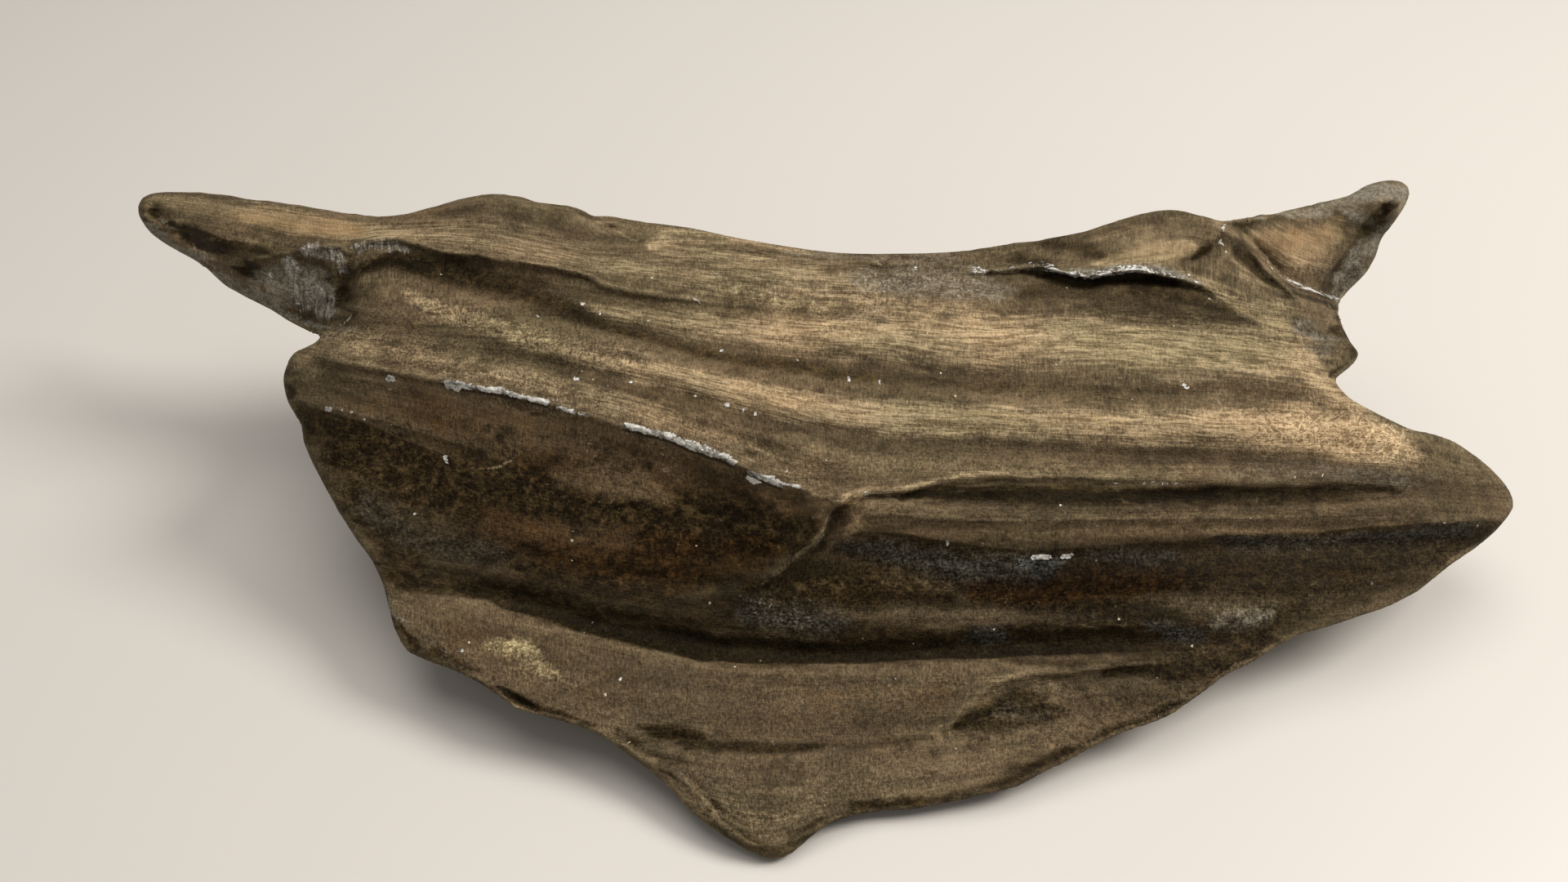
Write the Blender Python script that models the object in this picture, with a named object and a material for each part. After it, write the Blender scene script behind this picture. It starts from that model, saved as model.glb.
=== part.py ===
"""Petrified wood piece: one splintered length of silicified wood, lying on its belly.

The piece is sculpted as a relief on an oblique drawing sheet.  The sheet has a
fixed viewpoint (VIEW), looks down at VIEW_TILT and is measured in sheet units
(u to the right, v downwards, FOCUS units to the viewpoint).  OUTLINE is the
contour of the piece on the sheet, FORM gives the height of its upper side above
the resting plane, BODY how thick the piece is behind it, and RELIEF the ridges,
grooves and broken ledges that follow the wood grain.  A smooth plate surface
carries these through, the two sides are closed along the contour, and the
belly is cut flat where the piece rests.

Units are metres, +X along the grain, +Y to the back, +Z up; the origin is the
middle of the footprint, on the resting plane.
"""
import math

import bmesh
import bpy
import mathutils
import numpy as np

# ---------------------------------------------------------------- driving dimensions
NAME = "petrified_wood"
VIEW = (-0.0031, -0.1753, 0.2170)   # viewpoint of the drawing sheet
VIEW_TILT = math.radians(45.0)      # how far the sheet's axis looks down
FOCUS = 1500.0                      # sheet units from the viewpoint to the sheet
SHEET_MIDDLE = (960.0, 540.0)       # where the sheet's axis meets it
EDGE_WIDTH = 60.0                   # sheet units over which the back rounds off to the contour
BELLY_DEPTH = 0.0012                # how much of the underside is worn flat
GRID = 12.0                         # sheet units between drawing points
VOXEL = 0.0024                      # size of the first even skin
TRIANGLES = 6400                    # faces left in the solid

SIN, COS = math.sin(VIEW_TILT), math.cos(VIEW_TILT)
EYE = VIEW[2] * 1000.0              # viewpoint height in mm

# contour of the piece, clockwise from the left tip: u, v, edge radius (sheet units)
OUTLINE = [
    (169, 253, 14), (174, 243, 12), (185, 237, 10), (201, 235, 10), (242, 236, 10), (303, 244, 10), (369, 253, 10),
    (426, 262, 10), (466, 265, 10), (499, 262, 10), (528, 255, 10), (564, 246, 10), (601, 242, 10), (638, 245, 10),
    (683, 254, 8), (711, 263, 6), (726, 270, 5), (745, 270, 7), (782, 271, 9), (843, 278, 9), (884, 287, 9), (929, 296, 9),
    (969, 303, 9), (1018, 309, 9), (1067, 311, 9), (1129, 310, 9), (1182, 307, 9), (1231, 300, 8), (1260, 297, 7),
    (1284, 292, 6), (1321, 285, 6), (1358, 274, 7), (1391, 264, 8), (1423, 258, 8), (1448, 259, 8), (1472, 265, 8),
    (1497, 271, 6), (1513, 269, 6), (1546, 264, 7), (1586, 256, 8), (1627, 246, 9), (1652, 239, 9), (1672, 227, 9),
    (1693, 221, 9), (1713, 221, 9), (1724, 228, 9), (1726, 241, 9), (1717, 258, 8), (1703, 278, 8), (1691, 294, 8),
    (1684, 315, 8), (1672, 335, 8), (1652, 355, 7), (1641, 370, 4), (1641, 381, 4), (1645, 400, 4), (1654, 419, 4),
    (1664, 433, 4), (1658, 445, 4), (1644, 457, 4), (1634, 466, 4), (1651, 486, 7), (1676, 501, 9), (1704, 515, 10),
    (1729, 526, 10), (1754, 531, 11), (1779, 540, 12), (1804, 556, 12), (1826, 574, 12), (1844, 594, 12), (1852, 609, 11),
    (1853, 622, 10), (1845, 635, 8), (1833, 649, 7), (1808, 670, 6), (1776, 692, 6), (1754, 710, 6), (1733, 726, 6),
    (1697, 744, 6), (1661, 756, 6), (1626, 768, 6), (1590, 778, 6), (1568, 790, 6), (1551, 800, 5), (1540, 808, 5),
    (1520, 818, 5), (1500, 828, 5), (1480, 843, 5), (1455, 861, 5), (1435, 875, 5), (1410, 886, 5), (1382, 895, 5),
    (1357, 906, 6), (1333, 918, 6), (1308, 932, 7), (1276, 947, 8), (1251, 961, 8), (1226, 969, 8), (1194, 976, 8),
    (1153, 985, 9), (1112, 992, 9), (1084, 993, 9), (1063, 996, 8), (1031, 1003, 8), (1011, 1012, 9), (991, 1027, 11),
    (975, 1041, 12), (960, 1050, 13), (942, 1052, 13), (922, 1045, 12), (897, 1031, 10), (873, 1015, 9), (848, 996, 9),
    (824, 970, 9), (799, 947, 8), (775, 929, 8), (750, 911, 7), (726, 896, 6), (693, 885, 5), (660, 876, 5), (632, 868, 5),
    (611, 853, 6), (583, 835, 7), (550, 819, 8), (522, 809, 9), (497, 796, 10), (483, 770, 8), (475, 741, 8), (469, 716, 8),
    (455, 686, 8), (434, 657, 8), (414, 624, 8), (396, 592, 8), (381, 563, 8), (372, 541, 7), (370, 520, 6), (360, 504, 7),
    (351, 488, 8), (347, 469, 8), (349, 453, 8), (356, 437, 7), (364, 430, 6), (377, 424, 5), (392, 414, 3), (385, 410, 4),
    (356, 394, 7), (332, 380, 8), (303, 365, 8), (275, 349, 8), (250, 326, 8), (226, 312, 8), (201, 298, 8), (183, 284, 9),
    (171, 266, 12),
]

# the seen side: u, v, height above the resting plane (mm)
FORM = [
    # back crest with the left wing, the hump, the waist and the right hump
    (172, 252, 56), (200, 237, 58), (250, 238, 59.5), (350, 252, 62), (450, 265, 64), (530, 255, 66.5), (620, 243, 69.5),
    (690, 256, 68.5), (738, 273, 66), (800, 273, 65), (900, 290, 64), (1000, 307, 63), (1100, 311, 63), (1200, 306, 63.5),
    (1300, 288, 66), (1400, 262, 69), (1450, 259, 70), (1500, 272, 68),
    # right wing
    (1545, 264, 63.5), (1600, 254, 61.5), (1652, 239, 61.5), (1700, 221, 62.5), (1724, 230, 61), (1560, 300, 60), (1600, 320, 56),
    (1640, 290, 56), (1690, 294, 50), (1672, 335, 45), (1641, 370, 42), (1700, 250, 60),
    # left wing: lower edge, arris, side
    (183, 284, 51.5), (226, 312, 48), (275, 349, 44), (332, 380, 42), (385, 410, 42),
    (205, 262, 56), (245, 298, 54), (290, 318, 55.5), (345, 310, 59), (410, 315, 60), (440, 303, 61),
    (300, 344, 48), (350, 360, 47.5), (400, 372, 48), (425, 350, 53),
    # first arris along the grain and the hollow below it
    (480, 296, 62.5), (548, 310, 63), (650, 326, 63.5), (740, 351, 63.5), (843, 367, 63), (1006, 388, 62.5),
    (470, 335, 58.5), (560, 350, 59.5), (660, 365, 60.3), (760, 383, 61), (860, 398, 61), (1000, 410, 61),
    # between crest and arris
    (500, 280, 64.5), (600, 285, 66.5), (700, 305, 66), (800, 325, 65), (900, 335, 64.5), (1050, 345, 63.5), (1150, 345, 63.5),
    # field of the upper side
    (400, 424, 54.5), (440, 395, 56), (520, 390, 58.5), (620, 405, 59.5), (740, 430, 59.5), (860, 455, 58.8), (1000, 480, 57.5),
    (1100, 400, 62), (1200, 400, 62), (1300, 400, 61), (1400, 400, 60.5), (1500, 400, 60),
    (520, 430, 57.5), (640, 452, 57.5), (760, 480, 56.8), (880, 520, 55), (980, 560, 52.5), (1060, 580, 50.5),
    (1150, 480, 57), (1300, 490, 56), (1450, 490, 55), (1560, 480, 53.5), (1200, 540, 53), (1350, 545, 51.5), (1500, 545, 49),
    (1650, 500, 49), (1650, 540, 44), (1740, 545, 40),
    (1400, 320, 67), (1330, 310, 66), (1470, 310, 66.5), (1540, 350, 61.5), (1600, 380, 57), (1600, 430, 55),
    (1641, 400, 52), (1664, 434, 48), (1634, 464, 50.5),
    # front arris and its corner
    (360, 431, 53), (398, 439, 54.5), (471, 454, 55.5), (558, 468, 56), (670, 495, 55.2), (767, 522, 53.8), (854, 551, 51.8), (936, 587, 49.2),
    (1004, 609, 47.6), (1033, 616, 47),
    # second arris running out to the right wing tip
    (1062, 606, 48.4), (1155, 589, 49.6), (1231, 586, 49.2), (1385, 592, 46.8), (1550, 592, 42.5), (1679, 592, 37), (1780, 590, 31.5),
    (1850, 612, 25.5), (1059, 626, 46), (1219, 637, 44.8), (1410, 633, 42), (1600, 630, 36), (1793, 630, 28.5),
    # front slope
    (1000, 690, 34), (1155, 700, 33), (1300, 700, 32), (1500, 690, 29.5), (1700, 690, 25), (1000, 750, 25.5), (1200, 745, 25.5),
    (1400, 745, 24), (1560, 735, 22.5), (1830, 650, 23.5),
    (349, 460, 49.5), (352, 497, 45), (372, 541, 39.5), (414, 624, 31.5), (455, 686, 25.5), (476, 745, 20.5), (497, 796, 16.5),
    (460, 560, 40), (600, 600, 39.5), (760, 640, 36), (900, 660, 36), (980, 655, 40), (550, 680, 27.5), (700, 710, 25.5),
    (850, 735, 25),
    # hollow at the foot of the slope
    (560, 735, 21), (679, 757, 19.5), (825, 787, 18), (970, 806, 17.5), (1091, 808, 17), (1283, 797, 17.5), (1410, 797, 17.5),
    (1500, 795, 17),
    # shelf
    (540, 780, 18.5), (650, 830, 16.5), (800, 850, 15.5), (950, 880, 14), (1100, 880, 13.5), (1250, 860, 13.5), (1380, 850, 13.5),
    (632, 866, 14), (758, 908, 11.5), (844, 955, 9), (890, 1006, 6), (930, 1035, 4.5), (955, 1040, 4), (1000, 1000, 6),
    (1084, 990, 4.5), (1194, 973, 5.5), (1300, 932, 7.5), (1400, 888, 10), (1480, 842, 13.5), (1568, 788, 16.5), (1660, 755, 18.5),
    (1754, 708, 20.5),
]

# how deep the piece is behind it, along the line of sight: u, v, mm
BODY = [
    (175, 250, 10), (260, 280, 17), (350, 320, 22), (420, 340, 26), (450, 280, 24), (380, 460, 22), (360, 500, 20), (400, 600, 17),
    (470, 700, 12), (520, 780, 8), (600, 835, 7), (700, 880, 7), (800, 935, 7), (900, 1020, 7), (950, 1030, 8),
    (500, 400, 36), (600, 300, 30), (620, 260, 24), (800, 300, 26), (1000, 330, 26), (1200, 320, 26), (1400, 290, 28),
    (700, 420, 46), (900, 440, 52), (1100, 440, 50), (1300, 440, 44), (1480, 420, 36),
    (600, 560, 46), (750, 600, 56), (900, 620, 65), (1100, 620, 62), (1300, 610, 47), (1450, 600, 38),
    (560, 700, 26), (700, 690, 38), (850, 700, 46), (1000, 700, 47), (1150, 700, 42), (1300, 700, 30),
    (700, 770, 20), (850, 800, 19), (1000, 820, 18), (1150, 810, 18), (1300, 780, 18), (1450, 760, 15),
    (700, 840, 11), (850, 900, 11), (1000, 920, 11), (1150, 920, 10), (1300, 880, 9), (1420, 840, 8),
    (1580, 560, 25), (1700, 580, 19), (1800, 600, 14), (1840, 620, 11), (1600, 700, 15), (1700, 700, 11), (1560, 770, 8),
    (1600, 420, 24), (1650, 430, 14), (1540, 320, 26), (1620, 300, 20), (1690, 250, 13), (1660, 330, 13),
]

# grain relief: name, height above the line, its width, height below the line, its width,
# softness, 1 for a sharp crest, then the line: u, v, share of the height.
# Heights are mm out of the surface, widths are sheet units.
RELIEF = [
    # arris 1 along the grain
    ("arris_1", 0.5, 22, -1.4, 46, 2.0, 1, [(462, 300, 0.2), (479, 296, .8), (548, 310, 1), (589, 316, 1), (650, 326, 1), (711, 339, 1),
        (741, 352, .85), (802, 363, .55), (843, 367, .45), (875, 373, .35), (950, 381, .2), (1030, 390, 0)]),
    ("under_1", -1.1, 32, -1.1, 32, 3, 0, [(430, 372, 0.3), (455, 338, 0.9), (520, 336, 1), (600, 346, 1), (700, 362, .7), (800, 384, .3), (860, 392, 0)]),
    ("band_d1", -0.5, 18, -0.5, 18, 2, 0, [(690, 358, 0), (760, 366, .6), (802, 372, 1), (904, 385, 1), (1006, 397, .7), (1090, 404, 0)]),
    ("band_l1", 0.7, 24, 0.7, 24, 2, 0, [(470, 372, 0), (520, 372, 1), (620, 374, .9), (741, 379, .8), (820, 390, .9), (904, 405, 1), (1026, 412, 1), (1200, 425, .6), (1350, 440, 0)]),
    ("band_d2", -0.8, 24, -0.8, 26, 2, 0, [(540, 392, 0), (620, 392, .5), (700, 394, .9), (773, 408, 1), (884, 434, 1), (986, 449, 1), (1067, 451, 1), (1149, 466, 1),
        (1251, 482, 1), (1340, 486, 1), (1450, 489, .8), (1561, 490, .5), (1620, 492, 0)]),
    ("lip_d2", 0.15, 14, -0.2, 20, 4, 1, [(1000, 428, 0), (1051, 434, 1), (1088, 452, 1), (1149, 464, 1), (1220, 474, .4), (1280, 480, 0)]),
    ("band_l2", 0.8, 24, 0.7, 22, 2, 0, [(520, 408, 0), (620, 418, .7), (700, 434, 1), (782, 454, 1), (884, 479, 1), (986, 502, 1), (1067, 510, 1), (1190, 514, 1), (1340, 519, 1),
        (1450, 523, 1), (1560, 528, .9), (1650, 532, .8), (1760, 548, 0)]),
    ("band_d3", -0.65, 22, -0.65, 22, 2, 0, [(600, 432, 0), (700, 455, .9), (802, 475, 1), (904, 502, 1), (986, 524, 1), (1067, 537, 1), (1149, 548, .8), (1260, 556, .7), (1400, 562, .8),
        (1540, 566, .6), (1680, 572, 0)]),
    ("band_l3", 0.45, 20, 0.45, 20, 2, 0, [(620, 452, 0), (720, 475, .8), (830, 498, .9), (930, 530, 1), (1010, 560, .8), (1090, 575, 0)]),
    # crest
    ("crest_in", 0.2, 16, -0.7, 28, 2, 1, [(765, 298, 0), (822, 305, .8), (896, 307, 1), (945, 312, 1), (994, 322, 1), (1047, 324, 1), (1088, 326, .9), (1128, 324, .8), (1157, 330, .8),
        (1190, 339, .8), (1214, 341, .3)]),
    ("hump_end", -3.2, 46, 0.3, 16, 3, 1, [(704, 256, .5), (722, 268, 1), (740, 280, .8), (764, 292, .45), (800, 302, 0)]),
    # ledge on the right hump
    ("ledge", 0.8, 26, -3.3, 62, 2.5, 1, [(1175, 336, 0), (1200, 335, .3), (1260, 329, .7), (1285, 333, .9), (1315, 339, 1), (1336, 342, 1), (1360, 338, 1), (1390, 334, 1), (1412, 337, .9),
        (1436, 342, .7), (1465, 351, .4), (1490, 364, .2), (1515, 380, 0)]),
    ("ledge_toe", -0.9, 26, 0.6, 22, 3, 0, [(1225, 374, 0), (1260, 388, .8), (1342, 392, 1), (1423, 402, 1), (1505, 402, .7), (1560, 404, 0)]),
    ("peak_notch", -1.6, 16, -1.6, 14, 2, 0, [(1440, 330, 0), (1462, 322, .8), (1482, 312, 1), (1496, 302, 1), (1504, 288, .3)]),
    ("peak", -8.0, 60, 0.6, 26, 2.5, 1, [(1492, 268, .35), (1499, 276, .6), (1521, 288, .9), (1542, 311, 1), (1562, 335, 1), (1586, 349, .9), (1611, 356, .7), (1631, 364, .5), (1646, 372, .3)]),
    ("peak_front", -1.6, 12, -1.6, 30, 3, 0, [(1506, 300, 0), (1530, 322, .8), (1556, 350, 1), (1590, 378, 1), (1620, 392, .8), (1640, 398, .4)]),
    # left wing
    ("wing_arris", 1.2, 26, 0.6, 18, 2, 1, [(186, 250, 0), (205, 262, .7), (245, 300, .9), (275, 322, 1), (300, 322, .9), (345, 312, .8), (380, 305, .9), (400, 303, .8)]),
    ("wing_pit_1", -1.8, 14, -1.8, 14, 3, 0, [(180, 256, 0), (192, 258, 1), (204, 266, .8), (210, 276, 0)]),
    ("wing_pit_2", -2.0, 17, -2.0, 17, 3, 0, [(214, 280, 0), (230, 287, 1), (250, 302, 1), (262, 316, 0)]),
    ("wing_pit_3", -1.6, 13, -1.6, 13, 3, 0, [(286, 326, 0), (300, 330, 1), (318, 340, 1), (330, 352, 0)]),
    ("wing_flute_1", -0.8, 9, -0.8, 9, 2, 0, [(345, 322, 0), (352, 340, 1), (362, 366, 1), (368, 384, 0)]),
    ("wing_flute_2", -0.9, 9, -0.9, 9, 2, 0, [(378, 316, 0), (384, 336, 1), (386, 362, 1), (384, 388, 0)]),
    ("wing_root", -3.0, 20, -3.0, 20, 3, 0, [(436, 312, .3), (428, 332, .9), (424, 360, 1), (420, 388, 1), (404, 410, .8)]),
    ("wing_lip", 1.2, 12, 0.4, 14, 2, 1, [(372, 312, 0), (392, 304, .8), (414, 302, 1), (428, 312, .6), (446, 300, 1), (466, 296, .9), (480, 298, .3)]),
    ("wing_face", -0.5, 26, -0.5, 26, 3, 0, [(240, 262, 0), (330, 282, 1), (420, 286, 1), (500, 284, 0)]),
    # right wing: break between the tan face and the hollow side
    ("rwing_arris", 0.5, 24, -2.4, 30, 3, 1, [(1622, 352, 0), (1628, 338, .7), (1640, 316, 1), (1656, 290, 1), (1676, 264, 1), (1694, 250, .7), (1710, 242, 0)]),
    ("rwing_tip", -1.2, 12, -1.2, 12, 2, 0, [(1684, 262, 0), (1696, 254, 1), (1708, 247, .8), (1716, 240, 0)]),
    # front arris
    ("front_arris", 2.2, 44, 1.6, 34, 2, 1, [(345, 436, .3), (359, 430, .8), (398, 439, 1), (471, 454, 1), (529, 466, 1), (558, 468, 1), (611, 481, 1), (670, 495, 1), (708, 507, 1), (767, 522, 1), (815, 536, 1),
        (854, 551, 1), (893, 565, 1), (936, 587, 1), (970, 597, 1), (1004, 609, .9), (1023, 616, .8), (1040, 619, .3)]),
    ("front_band", 0.3, 16, -0.25, 24, 2, 0, [(360, 488, .5), (400, 500, 1), (461, 517, 1), (544, 538, .9), (611, 565, .6), (680, 590, 0)]),
    ("front_end", -2.6, 52, 1.4, 26, 2.5, 1, [(1046, 612, .3), (1033, 616, .8), (1020, 630, 1), (1011, 653, 1), (994, 675, 1), (965, 694, .8), (942, 714, .4), (920, 726, 0)]),
    ("conch_1", -0.4, 26, 0.25, 14, 3, 1, [(778, 578, 0), (800, 590, .8), (808, 602, 1), (796, 611, 1), (757, 620, 1), (742, 640, 1), (728, 660, .9), (689, 672, .9), (650, 672, .7), (611, 657, 0)]),
    ("conch_2", -0.3, 26, 0.2, 14, 3, 1, [(830, 620, 0), (866, 640, .8), (880, 668, 1), (850, 692, 1), (800, 700, .8), (740, 706, .5), (680, 700, 0)]),
    # second arris
    ("arris_2", 0.6, 18, -1.5, 24, 2, 1, [(1028, 617, .2), (1062, 605, .9), (1110, 601, 1), (1155, 590, 1), (1206, 584, 1), (1240, 585, .9), (1300, 588, .5), (1380, 590, 0)]),
    ("groove_2", -0.75, 22, -0.75, 22, 2, 0, [(1120, 610, 0), (1200, 602, .6), (1300, 602, .9), (1385, 604, .9), (1460, 604, 1), (1554, 604, 1), (1610, 602, .9), (1679, 602, .7), (1760, 604, 0)]),
    ("ridge_2", 1.0, 20, 1.4, 26, 2, 0, [(1048, 622, 0), (1090, 627, .8), (1219, 634, 1), (1320, 633, 1), (1410, 631, 1), (1600, 629, 1), (1793, 631, .9), (1846, 630, .4)]),
    ("under_2", -1.2, 20, -1.2, 30, 2, 0, [(1020, 664, 0), (1080, 668, .7), (1200, 674, .8), (1340, 674, 1), (1500, 672, 1), (1640, 668, .9), (1760, 668, .7), (1830, 660, 0)]),
    ("band_f1", 0.4, 20, 0.4, 20, 2, 0, [(960, 715, 0), (1040, 716, .8), (1200, 716, 1), (1400, 714, 1), (1560, 712, .8), (1660, 712, 0)]),
    ("band_f2", -0.25, 12, -0.25, 12, 2, 0, [(940, 738, 0), (1040, 742, 1), (1200, 744, 1), (1400, 742, .8), (1540, 738, 0)]),
    # hollow at the foot of the slope
    ("foot", -1.8, 30, -1.6, 26, 2, 0, [(520, 716, 0), (560, 722, .5), (611, 734, .9), (679, 751, 1), (752, 768, 1), (825, 782, 1), (873, 791, 1), (970, 800, 1), (1091, 802, 1), (1283, 794, 1), (1410, 791, .9), (1506, 788, .5), (1560, 784, 0)]),
    # shelf
    ("shelf_crease", -0.75, 18, -0.6, 18, 2, 0, [(770, 905, 0), (800, 908, 1), (850, 906, 1), (885, 910, .8), (909, 915, .7), (980, 915, .5), (1044, 911, .5), (1145, 908, .3), (1180, 905, 0)]),
    ("shelf_rim", -0.7, 18, 0.8, 16, 2, 1, [(735, 896, 0), (758, 908, .9), (800, 930, 1), (844, 955, 1), (866, 980, 1), (889, 1006, 1), (912, 1024, .8), (934, 1036, 0)]),
    ("shelf_nick", -1.2, 12, -1.2, 12, 2, 0, [(612, 850, 0), (630, 858, 1), (650, 868, 1), (668, 880, 0)]),
    ("scoop", 0.5, 26, -1.35, 60, 9, 1, [(1150, 935, 0), (1158, 912, .7), (1166, 895, 1), (1180, 878, 1), (1202, 855, 1), (1226, 841, 1), (1255, 833, 1), (1292, 830, .8), (1350, 824, .5), (1420, 812, .3), (1480, 800, 0)]),
]


# ---------------------------------------------------------------- curves on the sheet
def open_curve(points, step):
    """smooth curve through the points, every column carried along"""
    p = np.array(points, float)
    ends = np.vstack([2 * p[0] - p[1], p, 2 * p[-1] - p[-2]])
    out = []
    for a, b, c, d in zip(ends[:-3], ends[1:-2], ends[2:-1], ends[3:]):
        n = max(2, int(math.hypot(*(c - b)[:2]) / step) + 1)
        t = np.linspace(0, 1, n, endpoint=False)[:, None]
        out.append(0.5 * (2 * b + (c - a) * t + (2 * a - 5 * b + 4 * c - d) * t**2 + (3 * b - a - 3 * c + d) * t**3))
    return np.vstack(out + [p[-1:]])


def closed_curve(points, step):
    """closed curve through the points, tight enough to keep the chipped corners"""
    p = np.array(points, float)
    out = []
    for i in range(len(p)):
        a, b, c, d = p[i - 1], p[i], p[(i + 1) % len(p)], p[(i + 2) % len(p)]
        h = math.hypot(*(c - b)[:2])
        t = np.linspace(0, 1, max(2, int(h / step) + 1), endpoint=False)[:, None]
        m1, m2 = (c - a) * 0.42, (d - b) * 0.42
        m1 *= min(1.0, h / math.hypot(*m1[:2]))
        m2 *= min(1.0, h / math.hypot(*m2[:2]))
        out.append((2 * t**3 - 3 * t**2 + 1) * b + (t**3 - 2 * t**2 + t) * m1 + (3 * t**2 - 2 * t**3) * c + (t**3 - t**2) * m2)
    return np.vstack(out)


def to_curve(u, v, curve, closed=False):
    """distance to the curve, which side, and how far along"""
    a = curve[:, :2] if closed else curve[:-1, :2]
    b = np.roll(curve[:, :2], -1, 0) if closed else curve[1:, :2]
    ab = b - a
    l2 = np.maximum((ab**2).sum(1), 1e-9)
    best, side, at = np.empty(len(u)), np.empty(len(u)), np.empty(len(u))
    chunk = max(1, 3000000 // len(a))
    for i in range(0, len(u), chunk):
        ap = np.stack([u[i:i + chunk], v[i:i + chunk]], -1)[:, None] - a[None]
        t = np.clip((ap * ab).sum(2) / l2, 0, 1)
        d2 = ((ap - t[..., None] * ab) ** 2).sum(2)
        j = d2.argmin(1)
        r = np.arange(len(j))
        best[i:i + chunk] = d2[r, j]
        side[i:i + chunk] = np.sign(ab[j, 0] * ap[r, j, 1] - ab[j, 1] * ap[r, j, 0])
        at[i:i + chunk] = j + t[r, j]
    return np.sqrt(best), side, at


def inside(u, v, poly):
    hit = np.zeros(len(u), bool)
    for (x0, y0), (x1, y1) in zip(poly[:, :2], np.roll(poly[:, :2], -1, 0)):
        if y0 != y1:
            hit ^= ((y0 > v) != (y1 > v)) & (u < x0 + (v - y0) * (x1 - x0) / (y1 - y0))
    return hit


def ease(x):
    x = np.clip(x, 0, 1)
    return x * x * (3 - 2 * x)


# ---------------------------------------------------------------- surfaces over the sheet
def plate(points, values):
    """thin elastic plate through the values at the points"""
    p = np.array(points, float) / 300.0
    n = len(p)

    def kernel(r2):
        return 0.5 * r2 * np.log(np.maximum(r2, 1e-12))

    k = kernel(((p[:, None] - p[None]) ** 2).sum(2)) + np.eye(n) * 1e-3
    q = np.hstack([np.ones((n, 1)), p])
    w = np.linalg.solve(np.block([[k, q], [q.T, np.zeros((3, 3))]]), np.concatenate([values, np.zeros(3)]))

    def surface(u, v):
        x = np.stack([u, v], -1) / 300.0
        out = np.empty(len(x))
        for i in range(0, len(x), 20000):
            y = x[i:i + 20000]
            out[i:i + 20000] = kernel(((y[:, None] - p[None]) ** 2).sum(2)) @ w[:n] + w[n] + y @ w[n + 1:]
        return out

    return surface


def slope_of_sight(v):
    return SIN - (SHEET_MIDDLE[1] - v) / FOCUS * COS


def place(u, v, s):
    """sheet point at distance s (mm, along the sheet's axis) as a point in metres"""
    x = s * (u - SHEET_MIDDLE[0]) / FOCUS
    y = s * (COS + (SHEET_MIDDLE[1] - v) / FOCUS * SIN)
    z = EYE - s * slope_of_sight(v)
    return np.stack([x / 1000 + VIEW[0], y / 1000 + VIEW[1], z / 1000], -1)


def relief(u, v):
    """mm that the grain relief stands out of the smooth form"""
    out = np.zeros(len(u))
    for name, up, up_width, low, low_width, soft, sharp, points in RELIEF:
        curve = open_curve(points, 5.0)
        reach = max(up_width, low_width) + 4
        near = (u > curve[:, 0].min() - reach) & (u < curve[:, 0].max() + reach)
        near &= (v > curve[:, 1].min() - reach) & (v < curve[:, 1].max() + reach)
        if not near.any():
            continue
        d, side, at = to_curve(u[near], v[near], curve)
        share = np.interp(at, np.arange(len(curve)), curve[:, 2])
        d = d * np.where(side == 0, 1, side)
        below = ease((d + soft) / (2 * soft))

        def fall(width):
            x = np.clip(np.abs(d) / width, 0, 1)
            return (1 - x) ** 2 if sharp else np.cos(x * math.pi / 2) ** 2

        out[near] += share * ((1 - below) * up * fall(up_width) + below * low * fall(low_width))
    return out


contour = closed_curve(OUTLINE, 4.0)
form = np.array(FORM, float)
body = np.array(BODY, float)
form_depth = (EYE - form[:, 2]) / slope_of_sight(form[:, 1]) + 1.35 * relief(form[:, 0], form[:, 1])
front_plate = plate(form[:, :2], 1.0 / form_depth)
body_plate = plate(body[:, :2], np.sqrt(body[:, 2]))


def edge(u, v):
    d, side, at = to_curve(u, v, contour, closed=True)
    radius = np.interp(at, np.arange(len(contour) + 1), np.append(contour[:, 2], contour[0, 2]))
    return np.where(inside(u, v, contour), d, -d), radius


def front(u, v, d, radius):
    base = 1.0 / front_plate(u, v)
    x = 1 - np.clip(d / radius, 0, 1)
    rounding = 1.15 * radius * base / FOCUS * (1 - np.sqrt(np.maximum(1 - x * x, 0)))
    return base - 1.35 * relief(u, v) * ease(d / 9.0) + rounding


def back(u, v, s, d):
    x = 1 - np.clip(d / EDGE_WIDTH, 0, 1)
    deep = s + np.maximum(body_plate(u, v) ** 2, 3) * np.sqrt(np.maximum(1 - x * x, 0))
    return np.minimum(deep, (EYE + BELLY_DEPTH * 1000) / slope_of_sight(v))


# ---------------------------------------------------------------- the drawing points
def drawing_points():
    """contour, a few lines beside it and an even field, joined by triangles"""
    rim = closed_curve(OUTLINE, 8.0)[:, :2]
    along = np.roll(rim, -1, 0) - np.roll(rim, 1, 0)
    along /= np.linalg.norm(along, axis=1)[:, None]
    inward = np.stack([-along[:, 1], along[:, 0]], 1)
    beside = []
    for off in (1.5, 4.5, 9.0):
        q = rim + inward * off
        d, _ = edge(q[:, 0], q[:, 1])
        beside.append(q[np.abs(d - off) < 0.25 * off])
    low, high = rim.min(0), rim.max(0)
    rows = int((high[1] - low[1]) / (GRID * 0.866))
    field = np.vstack([
        np.stack([u, np.full(len(u), low[1] + i * GRID * 0.866)], 1)
        for i in range(rows)
        for u in [np.arange(low[0] + (GRID / 2 if i % 2 else 0), high[0], GRID)]
    ])
    d, _ = edge(field[:, 0], field[:, 1])
    points = np.vstack([rim] + beside + [field[d > 9.0 + GRID * 0.55]])
    n = len(rim)
    found = mathutils.geometry.delaunay_2d_cdt(
        [mathutils.Vector(p) for p in points.tolist()], [(i, (i + 1) % n) for i in range(n)], [], 1, 1e-4)
    sheet = np.array([tuple(p) for p in found[0]])
    on_rim = np.array([any(k < n for k in o) for o in found[3]])
    return sheet, np.array([tuple(f) for f in found[2]]), on_rim


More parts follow.
